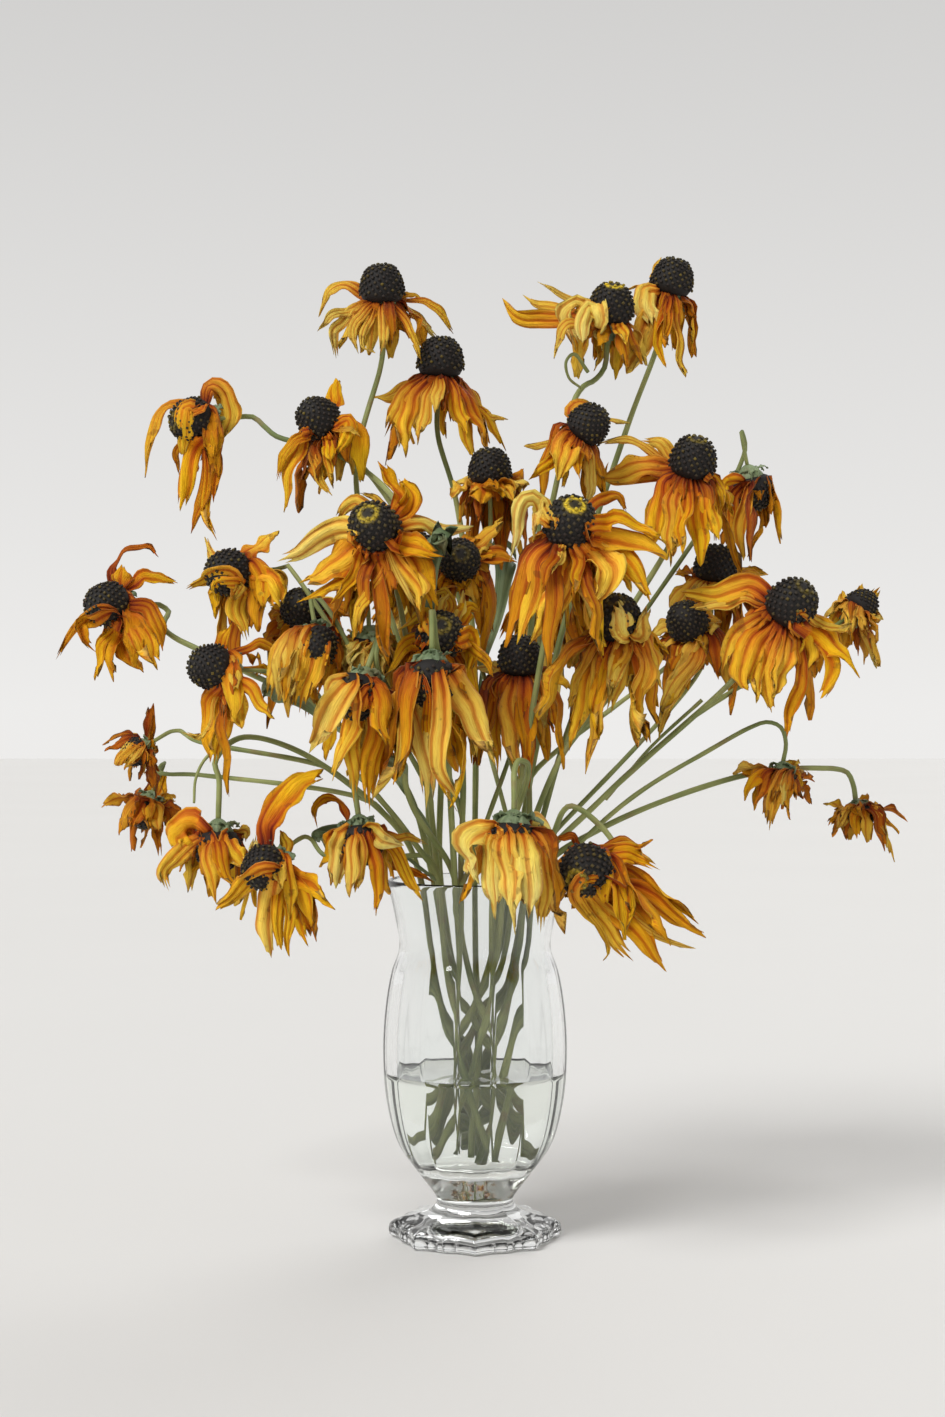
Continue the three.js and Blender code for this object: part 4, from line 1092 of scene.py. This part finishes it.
def petals_of(flower, rng):
    """All petals of a head as parts: drawn or listed ones finely, fillers with fewer faces."""
    axis = head_frame(flower)[1]
    parts = []
    drawn = [drawn_petal(flower, petal, half, rng)
             for key, half in (("drawn", -1), ("behind", 1)) for petal in flower.get(key, [])]
    if drawn:
        group = [np.array(values, float) for values in zip(*drawn)]
        facing = 0.6 * axis + 0.8 * group[1] + np.array([0.0, -1.3, 0.0])
        facing = facing + rng.normal(0, 0.3, group[1].shape)
        parts.append(petal_part(flower, group, unit(facing), rng, 22, 11))
    listed = listed_petals(flower, rng) if "near" in flower else []
    for order, group in enumerate(listed + filler_petals(flower, rng)):
        grid = LISTED_GRID if listed and order == 0 else FILLER_GRID
        parts.append(petal_part(flower, group, unit(axis + group[1]), rng, *grid))
    return parts


# %% Cone, florets and cup
GOLDEN_ANGLE = 2.399963
FLORET = dict(widths=(1.08, 1.02, 0.6), tall=(0.75, 1.3), lean=0.09)
BRACT = dict(long=(6, 14), width=(2.6, 5.0))
POLLEN_RADIUS, YOUNG_RADIUS = 4.3, 6.0


def rings_round(flower, profile, sides):
    """Circles round a head's axis from a profile of radius and height, as one tube."""
    middle, axis, right, _ = head_frame(flower)
    turn = np.linspace(0, 2 * math.pi, sides, endpoint=False)
    circle = np.cos(turn)[:, None] * right - np.sin(turn)[:, None] * np.cross(right, axis)
    radius, height = profile[:, 0, None, None], profile[:, 1, None, None]
    return (middle + (circle[None] * radius + axis * height) * flower["size"])[None]


def dome(lift):
    """Radius and height on the cone: a power of the cosine and the sine of an angle from the side to the
    tip."""
    height = HEAD["shoulder"] + (HEAD["tip"] - HEAD["shoulder"]) * np.sin(lift)
    return HEAD["side"] * np.cos(lift) ** 0.75, height


def cone_parts(flower, rng, florets=150):
    """A dark dome, and four-sided florets on it: the nth is turned by n golden angles, and each has the
    same area."""
    middle, axis, right, far = head_frame(flower)
    size, pollen_amount = flower["size"], flower["looks"][2]
    radius, height = dome(np.linspace(0, 1.45, 12))
    profile = np.concatenate([[[8.0, -2.5], [11.0, -1.0]], np.stack([radius, height - 0.6], -1)])
    dust = np.exp(-(profile[:, 0] - POLLEN_RADIUS) ** 2) * (profile[:, 1] > HEAD["shoulder"]) * pollen_amount
    dusted = np.append(np.repeat(dust, 20), [0.0, 0.0])
    # the dome's third channel is 0: the cone finish paints it near black as shade under the florets
    skin = np.stack([0.5 + 0 * dusted, dusted, 0 * dusted, 0 * dusted], -1)[None]
    body = tubes(rings_round(flower, profile, 20), np.linspace(0, 1, len(profile)), skin, CONE)
    share = (np.arange(florets) + 0.5) / florets
    rise_of_dome = HEAD["tip"] - HEAD["shoulder"]
    lift = np.arcsin(np.clip(1 - 17.5 * share / rise_of_dome, -0.03, 0.995))
    radius, height = dome(np.maximum(lift, 0))
    height = np.where(lift < 0, HEAD["shoulder"] + lift * 20, height)
    turn = GOLDEN_ANGLE * np.arange(florets)
    outwards = np.cos(turn)[:, None] * right + np.sin(turn)[:, None] * np.cross(axis, right)
    root = middle + outwards * (radius * size)[:, None] + axis * (height * size - 0.5)[:, None]
    slope = np.cos(lift)[:, None] / HEAD["side"]
    lean = unit(outwards * slope + axis * (np.maximum(np.sin(lift), 0.0)[:, None] + 0.3) / rise_of_dome)
    lean = unit(lean + rng.normal(0, FLORET["lean"], lean.shape))
    first = unit(np.cross(lean, right + 0.3 * far))
    second = np.cross(lean, first)
    rise = np.array([0.0, 0.6, 1.0])
    wide = np.array(FLORET["widths"]) * size
    corner = np.linspace(0, 2 * math.pi, 4, endpoint=False)
    spoke = np.cos(corner)[None, :, None] * first[:, None] + np.sin(corner)[None, :, None] * second[:, None]
    tall = rng.uniform(*FLORET["tall"], florets) * size
    along = rise[None, :, None, None] * tall[:, None, None, None]
    rings = root[:, None, None] + lean[:, None, None] * along + spoke[:, None] * wide[None, :, None, None]
    pollen = np.exp(-((radius - POLLEN_RADIUS) / 1.2) ** 2) * pollen_amount + rng.normal(0, 0.06, florets)
    tone = np.zeros((florets, 14, 4))
    tone[:, :, 0] = rng.uniform(0, 1, (florets, 1))
    tone[:, :, 1] = np.clip(pollen, 0, 1)[:, None]
    # the third channel rises along each floret; the cone finish paints shade at its bottom from it
    tone[:, :, 2] = np.concatenate([np.repeat(rise, 4), [0.0, 1.0]])
    tone[:, :, 3] = np.exp(-(radius / YOUNG_RADIUS) ** 2)[:, None] * 0.9
    return [body, tubes(rings, rise, tone, CONE)]


def cup_parts(flower, rng, bracts=11):
    """The green cup as a short turned solid, and hairy bracts from it: short sheets that go outwards and
    then hang."""
    middle, axis, right, far = head_frame(flower)
    size, cup = flower["size"], flower["cup"]
    profile = np.array([[1.8, -9.5], [3.4, -8.6], [5.4, -6.6], [7.4, -4.4], [8.6, -2.6], [8.4, -1.2]])
    along = np.linspace(0, 1, len(profile))
    round_cup = tubes(rings_round(flower, profile, 16), along, np.array([[0.5, 0.0, 0.0]]), GREEN)
    turn = 2 * math.pi * (np.arange(bracts) + rng.uniform(-0.5, 0.5, bracts)) / bracts
    out = np.cos(turn)[:, None] * right + np.sin(turn)[:, None] * far
    long = rng.uniform(*BRACT["long"], (bracts, 1)) * size * cup
    start = middle + (out * 4.5 - axis * 6.0) * size
    end = start + out * long * rng.uniform(0.25, 0.7, (bracts, 1))
    end = end - axis * long * rng.uniform(-0.2, 0.4, (bracts, 1))
    end = end + np.array([0.0, 0.0, -1.0]) * long * 0.45 + rng.normal(0, 1.6, end.shape)
    leave = start + out * long * 0.4 - axis * long * 0.1
    bend = (start + end) / 2 + out * long * 0.25
    ends = np.stack([start, leave, bend, end], 1)
    width = rng.uniform(*BRACT["width"], bracts) * size * (0.5 + 0.5 * cup)
    outline = ([0, 0.3, 0.6, 1], [0.8, 1.0, 0.7, 0.15])
    sheets = limp_sheets(bezier(ends), unit(axis + out), width, rng, 9, 4, 0.5, 1.2, outline)
    tone = np.stack([rng.uniform(0, 1, bracts), np.zeros(bracts), np.zeros(bracts)], -1)
    return [round_cup, slabs(sheets, tone, GREEN)]


# %% All heads
heads = []
for number, (name, flower) in enumerate(FLOWERS.items()):
    rng = np.random.default_rng(100 + number)
    parts = [*petals_of(flower, rng), *cone_parts(flower, rng), *cup_parts(flower, rng)]
    heads.append(dress(piece(name.replace("flower", "head"), parts, [PETAL, CONE, GREEN]), name))
print("heads made:", len(heads), "faces:", sum(len(h.data.polygons) for h in heads))

# %% [markdown]
# ## Stems
# A cut stem stands on the floor of the vase, leans through its neck and bends to its flower, and forks on
# its way up. Each one is a smooth curve through a few places read from the photograph. Curves drawn one
# by one would run through each other in the crowded neck, so they are then settled: pushed apart, off the
# cones and off the glass, in small steps that are smoothed along the stem.

# %% Stems, from the photograph
STEMS = {
    "stem_01": dict(to="flower_01", by=[(420, 720, 20), (356, 480, 28)], shoots=[]),
    "stem_02": dict(to="flower_04", by=[(440, 700, 0), (404, 515, -12), (345, 458, 10), (272, 434, 20)],
                    shoots=[
        dict(to="flower_05", share=0.66, by=[]),
    ]),
    "stem_03": dict(to="flower_06", by=[(474, 650, 40), (456, 500, 44)], shoots=[
        dict(to="flower_34", share=0.62, by=[]),
    ]),
    "stem_04": dict(to="flower_02", by=[(530, 640, 0), (566, 440, -2), (578, 392, 0)], shoots=[
        dict(to="flower_07", share=0.66, by=[]),
    ]),
    "stem_05": dict(to="flower_03", by=[(560, 640, 30), (628, 425, 34)], shoots=[
        dict(to="flower_33", share=0.42, by=[]),
    ]),
    "stem_06": dict(to="flower_08", by=[(580, 700, 0)], shoots=[
        dict(to="flower_09", share=0.6, by=[(745, 452, 48)]),
    ]),
    "stem_07": dict(to="flower_10", by=[(420, 720, -35)], shoots=[
        dict(to="flower_11", share=0.55, by=[(290, 568, -22)]),
    ]),
    "stem_08": dict(to="flower_12", by=[(530, 720, -45)], shoots=[
        dict(to="flower_37", share=0.55, by=[]),
    ]),
    "stem_09": dict(to="flower_13", by=[(400, 780, -10), (300, 700, -10), (210, 655, 5), (165, 630, 12)],
                    shoots=[
        dict(to="flower_14", share=0.6, by=[]),
    ]),
    "stem_10": dict(to="flower_15", by=[(460, 740, -45)], shoots=[
        dict(to="flower_22", share=0.6, by=[(385, 625, -46)]),
    ]),
    "stem_11": dict(to="flower_16", by=[(600, 800, -12), (735, 678, -30)], shoots=[
        dict(to="flower_17", share=0.75, by=[]),
    ]),
    "stem_12": dict(to="flower_18", by=[(560, 760, -35)], shoots=[
        dict(to="flower_36", share=0.45, by=[]),
    ]),
    "stem_13": dict(to="flower_19", by=[(450, 780, -55), (445, 680, -66), (436, 640, -88)], shoots=[
        dict(to="flower_35", share=0.4, by=[]),
    ]),
    "stem_14": dict(to="flower_20", by=[(410, 800, -52), (392, 700, -70), (376, 660, -86)], shoots=[
        dict(to="flower_21", share=0.66, by=[(330, 612, -58)]),
    ]),
    "stem_15": dict(to="flower_25", by=[(400, 830, -15), (300, 752, -15), (240, 738, -22), (215, 762, -32)],
                    shoots=[
        dict(to="flower_23", share=0.66, by=[(200, 742, 5)]),
        dict(to="flower_24", share=0.58, by=[(200, 775, 45), (158, 772, 60)]),
    ]),
    "stem_16": dict(to="flower_27", by=[(420, 850, -35), (385, 805, -46)], shoots=[
        dict(to="flower_26", share=0.62, by=[(330, 848, -55)]),
    ]),
    "stem_17": dict(to="flower_28", by=[(508, 840, -60), (528, 778, -84), (526, 762, -100)], shoots=[
        dict(to="flower_40", share=0.42, by=[(540, 700, 40)]),
    ]),
    "stem_18": dict(to="flower_29", by=[(545, 850, -35), (570, 806, -50)], shoots=[]),
    "stem_19": dict(to="flower_31", by=[(600, 828, 10), (745, 775, 25), (815, 768, 34)], shoots=[
        dict(to="flower_30", share=0.36, by=[(620, 808, 8), (700, 756, 6), (770, 722, 6)]),
        dict(to="flower_39", share=0.3, by=[(480, 720, 70)]),
    ]),
}
LEAVES = {
    "stem_07": dict(share=0.62, tip=(438, 548, -75), width=13),
    "stem_09": dict(share=0.5, tip=(262, 702, -30), width=18),
    "stem_14": dict(share=0.55, tip=(378, 768, -70), width=14),
    "stem_16": dict(share=0.6, tip=(306, 842, -42), width=14),
    "stem_03": dict(share=0.45, tip=(505, 560, 60), width=12),
}
TWIGS = {
    "stem_04": [[(588, 372, -1), (574, 354, -8), (566, 362, -12), (569, 378, -8), (581, 388, -2)]],
    "stem_15": [[(236, 740, -24), (207, 757, -22), (196, 778, -24), (194, 803, -28)]],
    "stem_11": [[(702, 700, -20), (650, 748, -14), (606, 800, -6)]],
}

SAMPLES, SHOOT_SAMPLES = 44, 20
CLEAR = dict(stems=7, cone=18, glass=3.2, gap=0.35)
SETTLING = dict(rounds=72, step=0.45)
FLOOR, WALL, WATER_LEVEL = 45.0, 4.0, 92.0
OUTSIDE = np.array([
    (46.5, 0), (48.5, 3), (47.5, 9), (28, 15), (22, 21), (25, 27), (33, 37), (43, 52),
    (49.5, 76), (51.5, 104), (50, 130), (46.5, 149), (42.5, 160), (43.5, 172), (46.5, 186), (49.5, 200),
], float)
print("stems:", len(STEMS), "side shoots:", sum(len(s["shoots"]) for s in STEMS.values()))

# %% Where each stem runs before it settles


def arrival_at(flower):
    """A point a little behind the head, and the bottom of its cup."""
    middle, axis, _, _ = head_frame(flower)
    cup = HEAD["foot"] * flower["size"] - CLEAR["gap"]
    return [middle + axis * (cup - 24 * flower["size"]), middle + axis * cup]


def at_height(point, height):
    """The same point at another height."""
    return np.array([point[0], point[1], height])


def main_path(stem, order):
    """From its place on the vase's floor, a spiral of golden turns, to the side of the neck that its
    flower is on."""
    route = list(place_each(stem["by"]))
    lead = at_height(route[0], 0)
    side = lead * min(1, 30 / np.linalg.norm(lead))
    turn = 2.4 * order
    foot = np.array([math.cos(turn), math.sin(turn), 0]) * 5 * math.sqrt(order) - 0.3 * side
    neck = side * 0.8 + foot * 0.25
    rise = [at_height(foot, FLOOR + 2.5 + (order % 4) * 1.8), at_height(foot * 0.55 + neck * 0.45, 100),
            at_height(neck, 162), at_height(neck + side * 0.25, 203)]
    return through(rise + route + arrival_at(FLOWERS[stem["to"]]), SAMPLES)


def shoot_path(shoot, main):
    """It leaves the stem in the stem's own direction, and then bends to its flower."""
    spot = int(shoot["share"] * SAMPLES)
    lead = unit(main[spot + 1] - main[spot])
    leave = [main[spot], main[spot] + lead * 12]
    return through(leave + list(place_each(shoot["by"])) + arrival_at(FLOWERS[shoot["to"]]), SHOOT_SAMPLES)


# %% Stems settle


def repel(points, others, clearance, counts):
    """Sum over the others of the way from them, as long as the distance falls short of the clearance."""
    away = points[:, :, None, None] - others[None, None]
    distance = np.linalg.norm(away, axis=-1)
    short = (distance < clearance) & (distance > 1e-6) & counts
    share = np.where(short, (clearance - distance) / np.maximum(distance, 1e-6), 0)
    return np.sum(away * share[..., None], axis=(2, 3))


def settle(paths, targets, fixed, parents, held):
    """Each point is pushed from every point of other stems and every cone that is too near, in proportion
    to how much too near it is, and each path's shifts are smoothed with weights of a quarter, a half
    and a quarter."""
    count, size = paths.shape[:2]
    shift = np.zeros_like(paths)
    frames = [head_frame(flower) for flower in FLOWERS.values()]
    sizes = np.array([flower["size"] for flower in FLOWERS.values()])
    middles = np.array([f[0] for f in frames]) + 6 * sizes[:, None] * np.array([f[1] for f in frames])
    reach = np.tile(CLEAR["cone"] * sizes, (count, 1, 1))
    for path, target in enumerate(targets):
        reach[path, 0, list(FLOWERS).index(target)] = 0
    order = np.arange(size)[None, :] * np.ones((count, 1))
    free = (order > held) & (order < size - 4)
    other = ~np.eye(count, dtype=bool)[:, None, :, None]
    for _ in range(SETTLING["rounds"]):
        now = paths + shift
        push = repel(now, now, CLEAR["stems"], other)
        if len(fixed):
            own = np.array(parents)[:, None] == np.arange(len(fixed))[None, :]
            near_fork = np.arange(size)[None, :, None, None] < held + 4
            push = push + repel(now, fixed, CLEAR["stems"], ~(own[:, None, :, None] & near_fork))
        away = now[:, :, None] - middles
        distance = np.linalg.norm(away, axis=-1)
        close = np.where(distance < reach, 2 * (reach - distance) / distance, 0)
        push = push + np.sum(away * close[..., None], axis=2)
        shift = shift + np.where(free[..., None], push, 0) * SETTLING["step"]
        first = held + 1
        for _ in range(2):
            before_it = shift[:, np.maximum(np.arange(first - 1, size - 4), 0)]
            kept = 0.5 * shift[:, first:size - 3] + 0.25 * before_it
            shift[:, first:size - 3] = kept + 0.25 * shift[:, first + 1:size - 2]
        now = paths + shift
        wall = np.interp(np.maximum(now[..., 2], FLOOR + 8), OUTSIDE[:, 1], OUTSIDE[:, 0])
        limit = wall - WALL - CLEAR["glass"]
        radius = np.hypot(now[..., 0], now[..., 1])
        outside = (now[..., 2] <= OUTSIDE[-1, 1]) & (radius > limit)
        scale = np.where(outside, limit / np.maximum(radius, 1e-6) - 1, 0)[..., None]
        shift = shift + now * scale * np.array([1.0, 1.0, 0.0])
    return paths + shift


names = list(STEMS)
mains = np.array([main_path(STEMS[name], order) for order, name in enumerate(names)])
mains = settle(mains, [STEMS[name]["to"] for name in names], [], [], -1)
shoot_list = [(order, shoot) for order, name in enumerate(names) for shoot in STEMS[name]["shoots"]]
shoots = np.array([shoot_path(shoot, mains[order]) for order, shoot in shoot_list])
parents = [order for order, _ in shoot_list]
shoots = settle(shoots, [shoot["to"] for _, shoot in shoot_list], mains, parents, 2)
lengths = np.linalg.norm(np.diff(mains, axis=1), axis=2).sum(axis=1)
print("settled; the stems are", lengths.min().round(), "to", lengths.max().round(), "mm long")

# %% [markdown]
# ## Stems as ribbed tubes
# A stem could be a curve with a bevel, but a real one is ribbed and thins upwards. So circles whose
# radius has five low ribs are set along the path, and a frame that doesn't twist keeps the ribs straight.
# In the vase the stems are drawn thinner than they are, down to 62%, because glass and water magnify them.

# %% Tubes along paths
RADII = dict(main=(1.95, 1.5), shoot=(1.5, 1.2), twig=(1.1, 0.7))
THINNER_IN_GLASS = ([60, 100, 215], [0.62, 0.75, 1.0])


def carried(points):
    """A direction across the path, made square to it again at each point, and the one square to both."""
    along = unit(np.gradient(points, axis=0))
    across = np.empty_like(points)
    side = np.array([0.0, 1.0, 0.0])
    for i, direction in enumerate(along):
        side = unit(side - direction * (side @ direction))
        across[i] = side
    return across, np.cross(along, across)


def stalk(points, radii, rings, sides, rng):
    """A tube whose radius falls evenly and is 5% larger at its ribs, and which swells and narrows a little
    along it.
    """
    fine = through(points, rings)
    across, other = carried(fine)
    share = np.linspace(0, 1, len(fine))
    radius = np.interp(share, [0, 1], radii) * np.interp(fine[:, 2], *THINNER_IN_GLASS)
    radius = radius * (1 + 0.06 * np.sin(share * 40 + rng.uniform(0, 6)) * np.sin(share * 17))
    turn = np.linspace(0, 2 * math.pi, sides, endpoint=False)
    ribbed = radius[:, None] * (1 + 0.05 * np.cos(5 * turn))[None, :]
    circle = np.cos(turn)[None, :, None] * across[:, None] + np.sin(turn)[None, :, None] * other[:, None]
    whole = (fine[:, None] + circle * ribbed[..., None])[None]
    return tubes(whole, share, np.array([[rng.uniform(0, 1), 0, 0]]), STALK)


def leaf_part(spot, leaf, rng):
    """A crumpled sheet, wide in its middle, that rises from the stem and hangs down to its tip."""
    end = place_each(leaf["tip"])[0]
    chord = end - spot
    up = np.array([0.0, 0.0, 1.0]) * np.linalg.norm(chord)
    ends = np.array([[spot, spot + chord * 0.3 + up * 0.18, end + up * 0.25, end]])
    facing = unit(np.array([[0.0, -1.0, 0.35]]))
    outline = ([0, 0.35, 0.55, 0.75, 0.9, 1], [0.1, 0.16, 0.7, 1.0, 0.6, 0.08])
    width = np.array([leaf["width"] * 1.1])
    sheets = limp_sheets(bezier(ends), facing, width, rng, 48, 17, 0.6, 1.6, outline)
    return slabs(sheets, np.array([[rng.uniform(0, 1), 0, 0]]), LEAF)


stems = []
for order, name in enumerate(names):
    rng = np.random.default_rng(500 + order)
    parts = [stalk(mains[order], RADII["main"], 110, 10, rng)]
    own_shoots = [path for (parent, _), path in zip(shoot_list, shoots) if parent == order]
    parts += [stalk(path, RADII["shoot"], 60, 8, rng) for path in own_shoots]
    parts += [stalk(place_each(twig), RADII["twig"], 40, 8, rng) for twig in TWIGS.get(name, [])]
    if name in LEAVES:
        spot = mains[order][round(LEAVES[name]["share"] * SAMPLES)]
        parts.append(leaf_part(spot, LEAVES[name], rng))
    stems.append(dress(piece(name + "_fine", parts, [STALK, LEAF]), name))
print("stems made:", len(stems), "faces:", sum(len(s.data.polygons) for s in stems))

# %% [markdown]
# ## The vase
# Pressed glass: a round bowl with sixteen upright flutes, pinched under a flared rim, on a short knop and
# an eight-cornered foot with two scallops to a side. It is one turned shape whose radius also depends on
# the angle, which keeps inside and outside one closed surface. The flutes are the absolute value of a
# cosine, so they are round outwards and meet in sharp grooves.

# %% Glass and water


def clear_finish(name, colour, ior):
    """Plain transmission with the medium's refractive index; the faint colour varies slowly, as in old
    glass."""
    f = Finish(name, 0.0)
    f.surface.inputs["Transmission Weight"].default_value = 1.0
    f.surface.inputs["IOR"].default_value = ior
    return f.done(f.blend(f.noise(f.spots, 14.0, 1.0), colour, (1.0, 1.0, 1.0, 1.0)))


GLASS = clear_finish("vase_glass", (0.95, 0.98, 0.975, 1), 1.5)
WATER = clear_finish("stale_water", (0.93, 0.95, 0.86, 1), 1.333)

# %% The vase's surface
SIDES, FLUTES, CORNERS = 160, 16, 8
FLUTE_DEPTH, SCALLOP_DEPTH = 0.016, 0.035


def smooth_profile(points, samples):
    """A smooth curve through the corners of an outline of radius and height."""
    flat = through(np.column_stack([points[:, 0], np.zeros(len(points)), points[:, 1]]), samples)
    return flat[:, [0, 2]]


def turned_body(radius_height, drawn_in=None):
    """Circles of the profile, drawn in by the share that a function gives for a height and an angle."""
    turn = np.linspace(0, 2 * math.pi, SIDES, endpoint=False)
    radius, height = radius_height[:, 0:1], radius_height[:, 1:2]
    share = drawn_in(height, turn[None, :]) if drawn_in else np.zeros((1, SIDES))
    drawn = radius * (1 - share)
    level = np.broadcast_to(height, drawn.shape)
    return np.stack([drawn * np.cos(turn), drawn * np.sin(turn), level], -1)[None]


def bump_between(height, low, high, soft):
    """0 outside two heights and 1 between them, eased over a soft distance."""
    rise = np.clip((height - low) / soft, 0, 1)
    fall = np.clip((high - height) / soft, 0, 1)
    return rise * rise * (3 - 2 * rise) * fall * fall * (3 - 2 * fall)


def outer_relief(height, turn):
    """Sixteen flutes on the bowl, and eight corners with shallow scallops on the foot."""
    flutes = 1 - np.abs(np.cos(FLUTES / 2 * turn))
    bowl = FLUTE_DEPTH * flutes ** 1.5 * bump_between(height, 29, 163, 22)
    eighth = 2 * math.pi / CORNERS
    from_corner = (turn + eighth / 2) % eighth - eighth / 2
    flat = 1 - math.cos(eighth / 2) / np.cos(np.abs(from_corner) - eighth / 2)
    scallop = SCALLOP_DEPTH * np.abs(np.sin(CORNERS * turn)) * bump_between(height, -8, 15, 7)
    return bowl + flat * bump_between(height, -12, 20, 9) + scallop


outline = np.array([
    (46.0, 0.0), (47.6, 1.0), (48.3, 3.5), (47.6, 7.5), (44.0, 10.0), (33.0, 12.6), (25.0, 15.5),
    (21.8, 19.0), (21.4, 22.0), (24.2, 26.5), (32.0, 36.5), (43.0, 52.5), (49.4, 76.0), (51.5, 104.0),
    (50.0, 130.0), (46.6, 149.0), (43.0, 159.0), (42.4, 164.0), (43.6, 173.0), (46.4, 187.0), (49.2, 198.4),
])
hollow = np.array([
    (46.6, 198.6), (43.4, 187.0), (40.2, 173.0), (39.0, 164.0), (39.4, 159.0), (42.8, 149.0), (46.0, 130.0),
    (47.3, 104.0), (45.4, 76.0), (38.2, 54.0), (30.0, 46.6), (14.0, 43.2), (1.0, 42.8),
])
lip = np.array([(48.9, 199.6), (48.0, 200.0), (47.1, 199.7)])
inner = smooth_profile(hollow, 70)
foot_centre = np.array([[1.0, 0.0], [20.0, 0.0], [40.0, 0.0]])
walls = turned_body(np.vstack([foot_centre, smooth_profile(outline, 110), lip]), outer_relief)
rings = np.concatenate([walls, turned_body(inner)], axis=1)
GREY = np.array([[0.5, 0.0, 0.0]])
vase = piece("vase_fluted", [tubes(rings, np.linspace(0, 1, rings.shape[1]), GREY, GLASS)], [GLASS])
dress(vase, "vase")
print("vase faces:", len(vase.data.polygons))

# %% [markdown]
# ## The water
# It fills the hollow up to its level, with a thin rise at the wall. Its side reaches a hair into the
# glass, since an air gap between the two would mirror like silver. The stems simply stand in it.

# %% Water body
depths = inner[::-1]
wetted = depths[depths[:, 1] < WATER_LEVEL - 1.5] + np.array([0.25, -0.15])
edge = np.interp(WATER_LEVEL, depths[:, 1], depths[:, 0]) + 0.2
surface_rows = np.array([(edge, 0.9), (edge - 0.9, 0.35), (edge - 2.6, 0.0), (edge * 0.5, 0.0), (1.0, 0.0)])
body = np.vstack([wetted, surface_rows + np.array([0.0, WATER_LEVEL])])
water = piece("water_body", [tubes(turned_body(body), np.linspace(0, 1, len(body)), GREY, WATER)], [WATER])
dress(water, "water")
print("water faces:", len(water.data.polygons))

# %% [markdown]
# ## Floor, light and camera
# A pale floor and two wide soft suns show the form from all sides, and light the floor evenly as far as
# one sees. The sky is brightest at the horizon, where it meets the floor's tone. The camera is the one
# worked out above, and its lens follows from the focal length in pixels.

# %% Stage


def floor_finish():
    """A matte material whose tone drifts a little, so that it isn't one flat colour."""
    f = Finish("floor_paint", 0.7)
    return f.done(f.blend(f.noise(f.spots, 1.5), (0.78, 0.77, 0.75, 1), (0.75, 0.74, 0.72, 1)))


bpy.ops.mesh.primitive_plane_add(size=24, location=(0, 0, -0.0005))
floor = bpy.context.object
floor.name = "floor"
floor.data.materials.append(floor_finish())


def soft_sun(name, turn, height, spread, power):
    """Even light from a direction in degrees, round from the front and above the floor, out of a wide
    disc."""
    data = bpy.data.lights.new(name, "SUN")
    data.energy = power
    data.angle = math.radians(spread)
    light = bpy.data.objects.new(name, data)
    bpy.context.scene.collection.objects.link(light)
    light.rotation_euler = (math.radians(90 - height), 0, math.radians(turn))
    return light


soft_sun("key", -40, 46, 26, 2.2)
soft_sun("rim", 150, 40, 40, 0.6)

world = bpy.data.worlds.new("studio")
world.use_nodes = True
tree = world.node_tree
HORIZON, ZENITH = 0.85, 0.3
sky = tree.nodes["Background"]
direction = tree.nodes.new("ShaderNodeTexCoord")
parts_of_it = tree.nodes.new("ShaderNodeSeparateXYZ")
height = tree.nodes.new("ShaderNodeMapRange")
tree.links.new(direction.outputs["Generated"], parts_of_it.inputs[0])
tree.links.new(parts_of_it.outputs[2], height.inputs["Value"])
tree.links.new(height.outputs[0], sky.inputs["Strength"])
for key, value in {"From Min": 0.0, "From Max": 0.8, "To Min": HORIZON, "To Max": ZENITH}.items():
    height.inputs[key].default_value = value
sky.inputs["Color"].default_value = (1.0, 0.99, 0.975, 1)
bpy.context.scene.world = world
bpy.context.scene.view_settings.view_transform = "Standard"

# %% Camera
lens = bpy.data.cameras.new("camera")
lens.sensor_width = 36
lens.lens = FOCAL / IMAGE[1] * lens.sensor_width
camera = bpy.data.objects.new("camera", lens)
bpy.context.scene.collection.objects.link(camera)
camera.location = (EYE[0] * MILLIMETRE, -DISTANCE * MILLIMETRE, EYE[1] * MILLIMETRE)
camera.rotation_euler = (math.pi / 2, 0, 0)
bpy.context.scene.camera = camera
